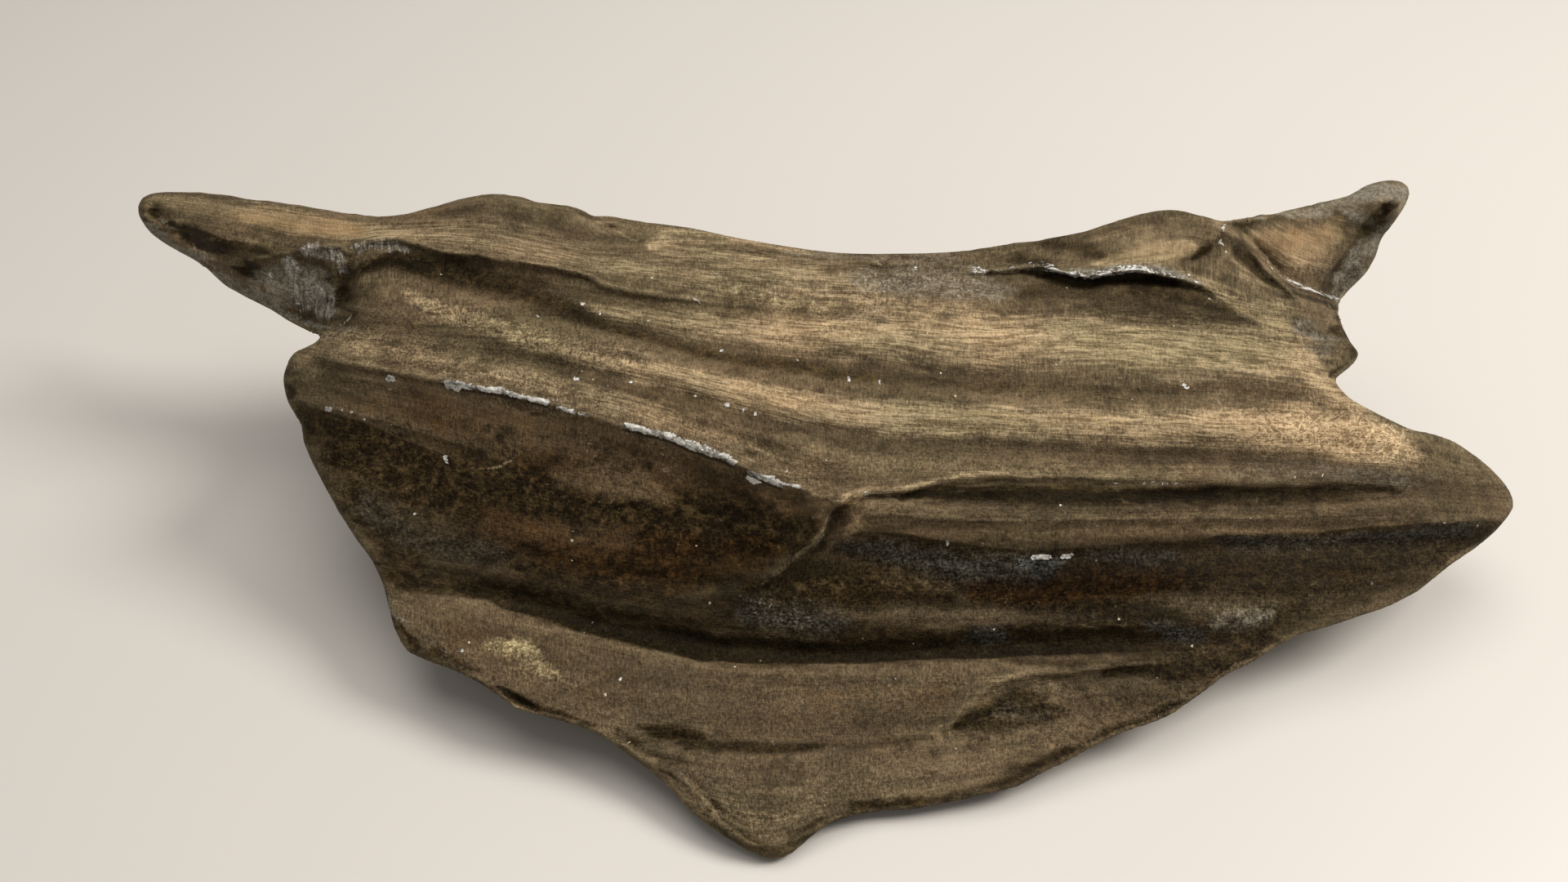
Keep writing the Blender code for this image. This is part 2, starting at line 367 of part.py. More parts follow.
def skin():
    """vertices and faces of the closed form, upper side and underside meeting at the contour"""
    sheet, tris, on_rim = drawing_points()
    u, v = sheet[:, 0], sheet[:, 1]
    d, radius = edge(u, v)
    d = np.where(on_rim, 0, np.maximum(d, 0.3))
    s = front(u, v, d, radius)
    deep = np.maximum(back(u, v, s, d), s + np.where(on_rim, 0, 0.5))
    a, b, c = sheet[tris[:, 0]], sheet[tris[:, 1]], sheet[tris[:, 2]]
    turned = (b[:, 0] - a[:, 0]) * (c[:, 1] - a[:, 1]) - (b[:, 1] - a[:, 1]) * (c[:, 0] - a[:, 0]) > 0
    tris[turned] = tris[turned][:, ::-1]
    behind = np.where(on_rim, np.arange(len(sheet)), -1)
    behind[~on_rim] = len(sheet) + np.arange((~on_rim).sum())
    under = behind[tris[:, ::-1]]
    open_ = ~on_rim[tris].all(1)
    verts = np.vstack([place(u, v, s), place(u, v, deep)[~on_rim]])
    return verts, np.vstack([tris[open_], under[open_]])


def evaluated_copy(obj):
    depsgraph = bpy.context.evaluated_depsgraph_get()
    return bpy.data.meshes.new_from_object(obj.evaluated_get(depsgraph))


def drop_specks(bm):
    """keeps the largest connected body"""
    left, bodies = set(bm.verts), []
    while left:
        found = [left.pop()]
        for vert in found:
            for e in vert.link_edges:
                other = e.other_vert(vert)
                if other in left:
                    left.remove(other)
                    found.append(other)
        bodies.append(found)
    bodies.sort(key=len)
    for specks in bodies[:-1]:
        bmesh.ops.delete(bm, geom=specks, context="VERTS")


def build():
    for old in list(bpy.data.objects):
        bpy.data.objects.remove(old)

    verts, faces = skin()
    mesh = bpy.data.meshes.new(NAME)
    mesh.from_pydata(verts.tolist(), [], faces.tolist())
    mesh.update()
    piece = bpy.data.objects.new(NAME, mesh)
    bpy.context.collection.objects.link(piece)

    even = piece.modifiers.new("even_skin", "REMESH")
    even.mode = "VOXEL"
    even.voxel_size = VOXEL
    dense = evaluated_copy(piece)
    fewer = piece.modifiers.new("fewer_faces", "DECIMATE")
    fewer.ratio = TRIANGLES / (2.0 * len(dense.polygons))
    fewer.use_collapse_triangulate = True
    shaped = evaluated_copy(piece)
    piece.modifiers.clear()

    # the belly and the front tip are cut on the resting plane
    bm = bmesh.new()
    bm.from_mesh(shaped)
    cut = bmesh.ops.bisect_plane(
        bm, geom=bm.verts[:] + bm.edges[:] + bm.faces[:], dist=1e-6,
        plane_co=(0, 0, 0), plane_no=(0, 0, 1), clear_inner=True)
    rim = [e for e in cut["geom_cut"] if isinstance(e, bmesh.types.BMEdge)]
    bmesh.ops.holes_fill(bm, edges=rim, sides=0)
    drop_specks(bm)
    for vert in bm.verts:
        if abs(vert.co.z) < 1e-6:
            vert.co.z = 0.0
    bmesh.ops.triangulate(bm, faces=bm.faces[:])
    bmesh.ops.recalc_face_normals(bm, faces=bm.faces[:])
    bm.to_mesh(mesh)
    bm.free()
    mesh.shade_smooth()
    mesh.set_sharp_from_angle(angle=math.radians(40))

    stone = bpy.data.materials.new("silicified_wood")
    stone.use_nodes = True
    surface = stone.node_tree.nodes["Principled BSDF"]
    surface.inputs["Base Color"].default_value = (0.15, 0.115, 0.075, 1.0)
    surface.inputs["Roughness"].default_value = 0.62
    surface.inputs["Metallic"].default_value = 0.0
    mesh.materials.append(stone)


build()
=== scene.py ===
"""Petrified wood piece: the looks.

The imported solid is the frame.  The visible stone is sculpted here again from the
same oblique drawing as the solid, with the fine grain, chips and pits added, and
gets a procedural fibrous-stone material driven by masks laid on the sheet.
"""
import math

import numpy as np

import bmesh
import bpy
import mathutils
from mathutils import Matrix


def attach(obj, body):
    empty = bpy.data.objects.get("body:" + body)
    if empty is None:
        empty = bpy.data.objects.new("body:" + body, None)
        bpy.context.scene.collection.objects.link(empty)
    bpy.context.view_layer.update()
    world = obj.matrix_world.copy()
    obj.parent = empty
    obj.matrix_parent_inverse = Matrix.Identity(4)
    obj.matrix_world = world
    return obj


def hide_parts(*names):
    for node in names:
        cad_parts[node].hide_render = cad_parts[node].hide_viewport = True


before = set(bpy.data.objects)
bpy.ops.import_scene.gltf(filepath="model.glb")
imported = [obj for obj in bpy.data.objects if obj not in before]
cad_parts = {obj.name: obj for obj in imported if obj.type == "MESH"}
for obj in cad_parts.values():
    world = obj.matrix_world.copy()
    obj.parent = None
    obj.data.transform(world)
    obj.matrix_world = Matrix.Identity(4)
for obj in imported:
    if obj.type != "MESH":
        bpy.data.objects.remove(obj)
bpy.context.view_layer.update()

# ---------------------------------------------------------------- drawing sheet
VIEW = (-0.0031, -0.1753, 0.2170)   # viewpoint of the drawing sheet, in the frame
VIEW_TILT = math.radians(45.0)
FOCUS = 1500.0                      # sheet units
SHEET_MIDDLE = (960.0, 540.0)
EDGE_WIDTH = 60.0
BELLY_DEPTH = 0.0012
SIN, COS = math.sin(VIEW_TILT), math.cos(VIEW_TILT)
EYE = VIEW[2] * 1000.0

VOXEL = 0.00075                     # first even skin of the visible stone
TRIANGLES = 194000                  # faces left in it

FLOOR_COLOUR = (0.58, 0.545, 0.50, 1.0)
WORLD_COLOUR = (1.0, 0.985, 0.96, 1.0)
WORLD_POWER = 0.30
LAMPS = [
    # name, place, size, power, colour
    ("key", (0.78, 0.06, 0.86), 0.46, 11.3, (1.0, 0.97, 0.93)),
    ("sky", (0.0, 0.16, 1.0), 0.9, 6.0, (1.0, 0.985, 0.96)),
]

# lines with broken white silica beside them: first and last distance, how much is needed
CHIPS = [
    # line, start, width, need
    ("ridge", -4.4, 2.4, 0.74),
    ("ledge", -5.0, 0.5, 0.92),
    ("arris", -1.5, 2.0, 0.98),
    ("step", -1.5, 1.2, 1.05),
    ("peak", -1.5, 1.5, 0.62),
]

# lines with painted shade on one side (under arrises and ledges, in hollows), over dark stone in part: side, where it
# has faded out, where it starts to fade, strength
SHADES = [
    # line, side (+1 below), gone, full, strength
    ("brink", 1.0, 56.0, 10.0, 0.98),
    ("foot", -1.0, 54.0, 6.0, 1.08),
    ("ledge", 1.0, 30.0, 8.0, 0.66),
    ("hollow", 1.0, 54.0, 20.0, 0.72),
    ("fband", 1.0, 60.0, 26.0, 0.80),
    ("arris", 1.0, 34.0, 8.0, 0.30),
]


# thin paler lines of the break: line, strength
PALES = [
    ("fleck", 0.75),
    ("step", 0.55),
    ("crown", 0.60),
]

# contour of the piece, clockwise from the left tip: u, v, edge radius
OUTLINE = [
    (169, 253, 14), (174, 243, 12), (185, 237, 10), (201, 235, 10), (242, 236, 10), (303, 244, 10), (369, 253, 10),
    (426, 262, 10), (466, 265, 10), (499, 262, 10), (528, 255, 10), (564, 246, 10), (601, 242, 10), (638, 245, 10),
    (683, 254, 8), (711, 263, 6), (726, 270, 5), (745, 270, 7), (782, 271, 9), (843, 278, 9), (884, 287, 9), (929, 296, 9),
    (969, 303, 9), (1018, 309, 9), (1067, 311, 9), (1129, 310, 9), (1182, 307, 9), (1231, 300, 8), (1260, 297, 7),
    (1284, 292, 6), (1321, 285, 6), (1358, 274, 7), (1391, 264, 8), (1423, 258, 8), (1448, 259, 8), (1472, 265, 8),
    (1497, 271, 6), (1513, 269, 6), (1546, 264, 7), (1586, 256, 8), (1627, 246, 9), (1652, 239, 9), (1672, 227, 9),
    (1693, 221, 9), (1713, 221, 9), (1724, 228, 9), (1726, 241, 9), (1717, 258, 8), (1703, 278, 8), (1691, 294, 8),
    (1684, 315, 8), (1672, 335, 8), (1652, 355, 7), (1641, 370, 4), (1641, 381, 4), (1645, 400, 4), (1654, 419, 4),
    (1664, 433, 4), (1658, 445, 4), (1644, 457, 4), (1634, 466, 4), (1651, 486, 7), (1676, 501, 9), (1704, 515, 10),
    (1729, 526, 10), (1754, 531, 11), (1779, 540, 12), (1804, 556, 12), (1826, 574, 12), (1844, 594, 12), (1852, 609, 11),
    (1853, 622, 10), (1845, 635, 8), (1833, 649, 7), (1808, 670, 6), (1776, 692, 6), (1754, 710, 6), (1733, 726, 6),
    (1697, 744, 6), (1661, 756, 6), (1626, 768, 6), (1590, 778, 6), (1568, 790, 6), (1551, 800, 5), (1540, 808, 5),
    (1520, 818, 5), (1500, 828, 5), (1480, 843, 5), (1455, 861, 5), (1435, 875, 5), (1410, 886, 5), (1382, 895, 5),
    (1357, 906, 6), (1333, 918, 6), (1308, 932, 7), (1276, 947, 8), (1251, 961, 8), (1226, 969, 8), (1194, 976, 8),
    (1153, 985, 9), (1112, 992, 9), (1084, 993, 9), (1063, 996, 8), (1031, 1003, 8), (1011, 1012, 9), (991, 1027, 11),
    (975, 1041, 12), (960, 1050, 13), (942, 1052, 13), (922, 1045, 12), (897, 1031, 10), (873, 1015, 9), (848, 996, 9),
    (824, 970, 9), (799, 947, 8), (775, 929, 8), (750, 911, 7), (726, 896, 6), (693, 885, 5), (660, 876, 5), (632, 868, 5),
    (611, 853, 6), (583, 835, 7), (550, 819, 8), (522, 809, 9), (497, 796, 10), (483, 770, 8), (475, 741, 8), (469, 716, 8),
    (455, 686, 8), (434, 657, 8), (414, 624, 8), (396, 592, 8), (381, 563, 8), (372, 541, 7), (370, 520, 6), (360, 504, 7),
    (351, 488, 8), (347, 469, 8), (349, 453, 8), (356, 437, 7), (364, 430, 6), (377, 424, 5), (392, 414, 3), (385, 410, 4),
    (356, 394, 7), (332, 380, 8), (303, 365, 8), (275, 349, 8), (250, 326, 8), (226, 312, 8), (201, 298, 8), (183, 284, 9),
    (171, 266, 12),
]

# heights of the seen side: u, v, mm above the resting plane
FORM = [
    # back crest with the left wing, the hump, the waist and the right hump
    (172, 252, 56), (200, 237, 58), (250, 238, 59.5), (350, 252, 62), (450, 265, 64), (530, 255, 66.5), (620, 243, 69.5),
    (690, 256, 68.5), (738, 273, 66), (800, 273, 65), (900, 290, 64), (1000, 307, 63), (1100, 311, 63), (1200, 306, 63.5),
    (1300, 288, 66), (1400, 262, 69), (1450, 259, 70), (1500, 272, 68),
    # right wing
    (1545, 264, 63.5), (1600, 254, 61.5), (1652, 239, 61.5), (1700, 221, 62.5), (1724, 230, 61), (1560, 300, 60), (1600, 320, 56),
    (1640, 290, 56), (1690, 294, 50), (1672, 335, 45), (1641, 370, 42), (1700, 250, 60),
    # left wing: lower edge, arris, side
    (183, 284, 51.5), (226, 312, 48), (275, 349, 44), (332, 380, 42), (385, 410, 42),
    (205, 262, 56), (245, 298, 54), (290, 318, 55.5), (345, 310, 59), (410, 315, 60), (440, 303, 61),
    (300, 344, 48), (350, 360, 47.5), (400, 372, 48), (425, 350, 53),
    # first arris along the grain and the hollow below it
    (480, 296, 62.5), (548, 310, 63), (650, 326, 63.5), (740, 351, 63.5), (843, 367, 63), (1006, 388, 62.5),
    (470, 335, 58.5), (560, 350, 59.5), (660, 365, 60.3), (760, 383, 61), (860, 398, 61), (1000, 410, 61),
    # between crest and arris
    (500, 280, 64.5), (600, 285, 66.5), (700, 305, 66), (800, 325, 65), (900, 335, 64.5), (1050, 345, 63.5), (1150, 345, 63.5),
    # field of the upper side
    (400, 424, 54.5), (440, 395, 56), (520, 390, 58.5), (620, 405, 59.5), (740, 430, 59.5), (860, 455, 58.8), (1000, 480, 57.5),
    (1100, 400, 62), (1200, 400, 62), (1300, 400, 61), (1400, 400, 60.5), (1500, 400, 60),
    (520, 430, 57.5), (640, 452, 57.5), (760, 480, 56.8), (880, 520, 55), (980, 560, 52.5), (1060, 580, 50.5),
    (1150, 480, 57), (1300, 490, 56), (1450, 490, 55), (1560, 480, 53.5), (1200, 540, 53), (1350, 545, 51.5), (1500, 545, 49),
    (1650, 500, 49), (1650, 540, 44), (1740, 545, 40),
    (1400, 320, 67), (1330, 310, 66), (1470, 310, 66.5), (1540, 350, 61.5), (1600, 380, 57), (1600, 430, 55),
    (1641, 400, 52), (1664, 434, 48), (1634, 464, 50.5),
    # front arris and its corner
    (360, 431, 53), (398, 439, 54.5), (471, 454, 55.5), (558, 468, 56), (670, 495, 55.2), (767, 522, 53.8), (854, 551, 51.8), (936, 587, 49.2),
    (1004, 609, 47.6), (1033, 616, 47),
    # second arris running out to the right wing tip
    (1062, 606, 48.4), (1155, 589, 49.6), (1231, 586, 49.2), (1385, 592, 46.8), (1550, 592, 42.5), (1679, 592, 37), (1780, 590, 31.5),
    (1850, 612, 25.5), (1059, 626, 46), (1219, 637, 44.8), (1410, 633, 42), (1600, 630, 36), (1793, 630, 28.5),
    # front slope
    (1000, 690, 34), (1155, 700, 33), (1300, 700, 32), (1500, 690, 29.5), (1700, 690, 25), (1000, 750, 25.5), (1200, 745, 25.5),
    (1400, 745, 24), (1560, 735, 22.5), (1830, 650, 23.5),
    (349, 460, 49.5), (352, 497, 45), (372, 541, 39.5), (414, 624, 31.5), (455, 686, 25.5), (476, 745, 20.5), (497, 796, 16.5),
    (460, 560, 40), (600, 600, 39.5), (760, 640, 36), (900, 660, 36), (980, 655, 40), (550, 680, 27.5), (700, 710, 25.5),
    (850, 735, 25),
    # hollow at the foot of the slope
    (560, 735, 21), (679, 757, 19.5), (825, 787, 18), (970, 806, 17.5), (1091, 808, 17), (1283, 797, 17.5), (1410, 797, 17.5),
    (1500, 795, 17),
    # shelf
    (540, 780, 18.5), (650, 830, 16.5), (800, 850, 15.5), (950, 880, 14), (1100, 880, 13.5), (1250, 860, 13.5), (1380, 850, 13.5),
    (632, 866, 14), (758, 908, 11.5), (844, 955, 9), (890, 1006, 6), (930, 1035, 4.5), (955, 1040, 4), (1000, 1000, 6),
    (1084, 990, 4.5), (1194, 973, 5.5), (1300, 932, 7.5), (1400, 888, 10), (1480, 842, 13.5), (1568, 788, 16.5), (1660, 755, 18.5),
    (1754, 708, 20.5),
]

# thickness behind the seen side: u, v, mm
BODY = [
    (175, 250, 10), (260, 280, 17), (350, 320, 22), (420, 340, 26), (450, 280, 24), (380, 460, 22), (360, 500, 20), (400, 600, 17),
    (470, 700, 12), (520, 780, 8), (600, 835, 7), (700, 880, 7), (800, 935, 7), (900, 1020, 7), (950, 1030, 8),
    (500, 400, 36), (600, 300, 30), (620, 260, 24), (800, 300, 26), (1000, 330, 26), (1200, 320, 26), (1400, 290, 28),
    (700, 420, 46), (900, 440, 52), (1100, 440, 50), (1300, 440, 44), (1480, 420, 36),
    (600, 560, 46), (750, 600, 56), (900, 620, 65), (1100, 620, 62), (1300, 610, 47), (1450, 600, 38),
    (560, 700, 26), (700, 690, 38), (850, 700, 46), (1000, 700, 47), (1150, 700, 42), (1300, 700, 30),
    (700, 770, 20), (850, 800, 19), (1000, 820, 18), (1150, 810, 18), (1300, 780, 18), (1450, 760, 15),
    (700, 840, 11), (850, 900, 11), (1000, 920, 11), (1150, 920, 10), (1300, 880, 9), (1420, 840, 8),
    (1580, 560, 25), (1700, 580, 19), (1800, 600, 14), (1840, 620, 11), (1600, 700, 15), (1700, 700, 11), (1560, 770, 8),
    (1600, 420, 24), (1650, 430, 14), (1540, 320, 26), (1620, 300, 20), (1690, 250, 13), (1660, 330, 13),
]

# name, mm above and reach above the line, mm below and reach below, softness, sharp, line of u, v, share
RELIEF = [
    # arris 1 along the grain
    ("arris_1", 0.5, 22, -1.4, 46, 2.0, 1, [(462, 300, 0.2), (479, 296, .8), (548, 310, 1), (589, 316, 1), (650, 326, 1), (711, 339, 1),
        (741, 352, .65), (802, 363, .38), (843, 367, .30), (875, 373, .22), (950, 381, .1), (1030, 390, 0)]),
    ("under_1", -1.1, 32, -1.1, 32, 3, 0, [(430, 372, 0.3), (455, 338, 0.9), (520, 336, 1), (600, 346, 1), (700, 362, .7), (800, 384, .3), (860, 392, 0)]),
    ("band_d1", -0.5, 18, -0.5, 18, 2, 0, [(690, 358, 0), (760, 366, .6), (802, 372, 1), (904, 385, 1), (1006, 397, .7), (1090, 404, 0)]),
    ("band_l1", 0.7, 24, 0.7, 24, 2, 0, [(470, 372, 0), (520, 372, 1), (620, 374, .9), (741, 379, .8), (820, 390, .9), (904, 405, 1), (1026, 412, 1), (1200, 425, .6), (1350, 440, 0)]),
    ("band_d2", -0.8, 24, -0.8, 26, 2, 0, [(540, 392, 0), (620, 392, .5), (700, 394, .9), (773, 408, 1), (884, 434, 1), (986, 449, 1), (1067, 451, 1), (1149, 466, 1),
        (1251, 482, 1), (1340, 486, 1), (1450, 489, .8), (1561, 490, .5), (1620, 492, 0)]),
    ("lip_d2", 0.15, 14, -0.2, 20, 4, 1, [(1000, 428, 0), (1051, 434, 1), (1088, 452, 1), (1149, 464, 1), (1220, 474, .4), (1280, 480, 0)]),
    ("band_l2", 0.8, 24, 0.7, 22, 2, 0, [(520, 408, 0), (620, 418, .7), (700, 434, 1), (782, 454, 1), (884, 479, 1), (986, 502, 1), (1067, 510, 1), (1190, 514, 1), (1340, 519, 1),
        (1450, 523, 1), (1560, 528, .9), (1650, 532, .8), (1760, 548, 0)]),
    ("band_d3", -0.65, 22, -0.65, 22, 2, 0, [(600, 432, 0), (700, 455, .9), (802, 475, 1), (904, 502, 1), (986, 524, 1), (1067, 537, 1), (1149, 548, .8), (1260, 556, .7), (1400, 562, .8),
        (1540, 566, .6), (1680, 572, 0)]),
    ("band_l3", 0.45, 20, 0.45, 20, 2, 0, [(620, 452, 0), (720, 475, .8), (830, 498, .9), (930, 530, 1), (1010, 560, .8), (1090, 575, 0)]),
    # crest
    ("crest_in", 0.2, 16, -0.7, 28, 2, 1, [(765, 298, 0), (822, 305, .8), (896, 307, 1), (945, 312, 1), (994, 322, 1), (1047, 324, 1), (1088, 326, .9), (1128, 324, .8), (1157, 330, .8),
        (1190, 339, .8), (1214, 341, .3)]),
    ("hump_end", -3.2, 46, 0.3, 16, 3, 1, [(704, 256, .5), (722, 268, 1), (740, 280, .8), (764, 292, .45), (800, 302, 0)]),
    # ledge on the right hump
    ("ledge", 0.8, 26, -3.3, 62, 2.5, 1, [(1175, 336, 0), (1200, 335, .3), (1260, 329, .7), (1285, 333, .9), (1315, 339, 1), (1336, 342, 1), (1360, 338, 1), (1390, 334, 1), (1412, 337, .9),
        (1436, 342, .7), (1465, 351, .4), (1490, 364, .2), (1515, 380, 0)]),
    ("ledge_toe", -0.9, 26, 0.6, 22, 3, 0, [(1225, 374, 0), (1260, 388, .8), (1342, 392, 1), (1423, 402, 1), (1505, 402, .7), (1560, 404, 0)]),
    ("peak_notch", -1.6, 16, -1.6, 14, 2, 0, [(1440, 330, 0), (1462, 322, .8), (1482, 312, 1), (1496, 302, 1), (1504, 288, .3)]),
    ("peak", -8.0, 60, 0.6, 26, 2.5, 1, [(1492, 268, .35), (1499, 276, .6), (1521, 288, .9), (1542, 311, 1), (1562, 335, 1), (1586, 349, .9), (1611, 356, .7), (1631, 364, .5), (1646, 372, .3)]),
    ("peak_front", -1.6, 12, -1.6, 30, 3, 0, [(1506, 300, 0), (1530, 322, .8), (1556, 350, 1), (1590, 378, 1), (1620, 392, .8), (1640, 398, .4)]),
    # left wing
    ("wing_arris", 1.2, 26, 0.6, 18, 2, 1, [(186, 250, 0), (205, 262, .7), (245, 300, .9), (275, 322, 1), (300, 322, .9), (345, 312, .8), (380, 305, .9), (400, 303, .8)]),
    ("wing_pit_1", -1.8, 14, -1.8, 14, 3, 0, [(180, 256, 0), (192, 258, 1), (204, 266, .8), (210, 276, 0)]),
    ("wing_pit_2", -2.0, 17, -2.0, 17, 3, 0, [(214, 280, 0), (230, 287, 1), (250, 302, 1), (262, 316, 0)]),
    ("wing_pit_3", -1.6, 13, -1.6, 13, 3, 0, [(286, 326, 0), (300, 330, 1), (318, 340, 1), (330, 352, 0)]),
    ("wing_flute_1", -0.8, 9, -0.8, 9, 2, 0, [(345, 322, 0), (352, 340, 1), (362, 366, 1), (368, 384, 0)]),
    ("wing_flute_2", -0.9, 9, -0.9, 9, 2, 0, [(378, 316, 0), (384, 336, 1), (386, 362, 1), (384, 388, 0)]),
    ("wing_root", -3.0, 20, -3.0, 20, 3, 0, [(436, 312, .3), (428, 332, .9), (424, 360, 1), (420, 388, 1), (404, 410, .8)]),
    ("wing_lip", 1.2, 12, 0.4, 14, 2, 1, [(372, 312, 0), (392, 304, .8), (414, 302, 1), (428, 312, .6), (446, 300, 1), (466, 296, .9), (480, 298, .3)]),
    ("wing_face", -0.5, 26, -0.5, 26, 3, 0, [(240, 262, 0), (330, 282, 1), (420, 286, 1), (500, 284, 0)]),
    # right wing: break between the tan face and the hollow side
    ("rwing_arris", 0.5, 24, -2.4, 30, 3, 1, [(1622, 352, 0), (1628, 338, .7), (1640, 316, 1), (1656, 290, 1), (1676, 264, 1), (1694, 250, .7), (1710, 242, 0)]),
    ("rwing_tip", -1.2, 12, -1.2, 12, 2, 0, [(1684, 262, 0), (1696, 254, 1), (1708, 247, .8), (1716, 240, 0)]),
    # front arris
    ("front_arris", 2.2, 44, 1.6, 34, 2, 1, [(345, 436, .3), (359, 430, .8), (398, 439, 1), (471, 454, 1), (529, 466, 1), (558, 468, 1), (611, 481, 1), (670, 495, 1), (708, 507, 1), (767, 522, 1), (815, 536, 1),
        (854, 551, 1), (893, 565, 1), (936, 587, 1), (970, 597, 1), (1004, 609, .9), (1023, 616, .8), (1040, 619, .3)]),
    ("front_band", 0.3, 16, -0.25, 24, 2, 0, [(360, 488, .5), (400, 500, 1), (461, 517, 1), (544, 538, .9), (611, 565, .6), (680, 590, 0)]),
    ("front_end", -2.6, 52, 1.4, 26, 2.5, 1, [(1046, 612, .3), (1033, 616, .8), (1020, 630, 1), (1011, 653, 1), (994, 675, 1), (965, 694, .8), (942, 714, .4), (920, 726, 0)]),
    ("conch_1", -0.4, 26, 0.25, 14, 3, 1, [(778, 578, 0), (800, 590, .8), (808, 602, 1), (796, 611, 1), (757, 620, 1), (742, 640, 1), (728, 660, .9), (689, 672, .9), (650, 672, .7), (611, 657, 0)]),
    ("conch_2", -0.3, 26, 0.2, 14, 3, 1, [(830, 620, 0), (866, 640, .8), (880, 668, 1), (850, 692, 1), (800, 700, .8), (740, 706, .5), (680, 700, 0)]),
    # second arris
    ("arris_2", 0.6, 18, -1.5, 24, 2, 1, [(1028, 617, .2), (1062, 605, .9), (1110, 601, 1), (1155, 590, 1), (1206, 584, 1), (1240, 585, .9), (1300, 588, .5), (1380, 590, 0)]),
    ("groove_2", -0.75, 22, -0.75, 22, 2, 0, [(1120, 610, 0), (1200, 602, .6), (1300, 602, .9), (1385, 604, .9), (1460, 604, 1), (1554, 604, 1), (1610, 602, .9), (1679, 602, .7), (1760, 604, 0)]),
    ("ridge_2", 1.0, 20, 1.4, 26, 2, 0, [(1048, 622, 0), (1090, 627, .8), (1219, 634, 1), (1320, 633, 1), (1410, 631, 1), (1600, 629, 1), (1793, 631, .9), (1846, 630, .4)]),
    ("under_2", -1.2, 20, -1.2, 30, 2, 0, [(1020, 664, 0), (1080, 668, .7), (1200, 674, .8), (1340, 674, 1), (1500, 672, 1), (1640, 668, .9), (1760, 668, .7), (1830, 660, 0)]),
    ("band_f1", 0.4, 20, 0.4, 20, 2, 0, [(960, 715, 0), (1040, 716, .8), (1200, 716, 1), (1400, 714, 1), (1560, 712, .8), (1660, 712, 0)]),
    ("band_f2", -0.25, 12, -0.25, 12, 2, 0, [(940, 738, 0), (1040, 742, 1), (1200, 744, 1), (1400, 742, .8), (1540, 738, 0)]),
    # hollow at the foot of the slope
    ("foot", -1.8, 30, -1.6, 26, 2, 0, [(520, 716, 0), (560, 722, .5), (611, 734, .9), (679, 751, 1), (752, 768, 1), (825, 782, 1), (873, 791, 1), (970, 800, 1), (1091, 802, 1), (1283, 794, 1), (1410, 791, .9), (1506, 788, .5), (1560, 784, 0)]),
    # shelf
    ("shelf_crease", -0.75, 18, -0.6, 18, 2, 0, [(770, 905, 0), (800, 908, 1), (850, 906, 1), (885, 910, .8), (909, 915, .7), (980, 915, .5), (1044, 911, .5), (1145, 908, .3), (1180, 905, 0)]),
    ("shelf_rim", -0.7, 18, 0.8, 16, 2, 1, [(735, 896, 0), (758, 908, .9), (800, 930, 1), (844, 955, 1), (866, 980, 1), (889, 1006, 1), (912, 1024, .8), (934, 1036, 0)]),
    ("shelf_nick", -1.2, 12, -1.2, 12, 2, 0, [(612, 850, 0), (630, 858, 1), (650, 868, 1), (668, 880, 0)]),
    ("scoop", 0.5, 26, -1.35, 60, 9, 1, [(1150, 935, 0), (1158, 912, .7), (1166, 895, 1), (1180, 878, 1), (1202, 855, 1), (1226, 841, 1), (1255, 833, 1), (1292, 830, .8), (1350, 824, .5), (1420, 812, .3), (1480, 800, 0)]),
]

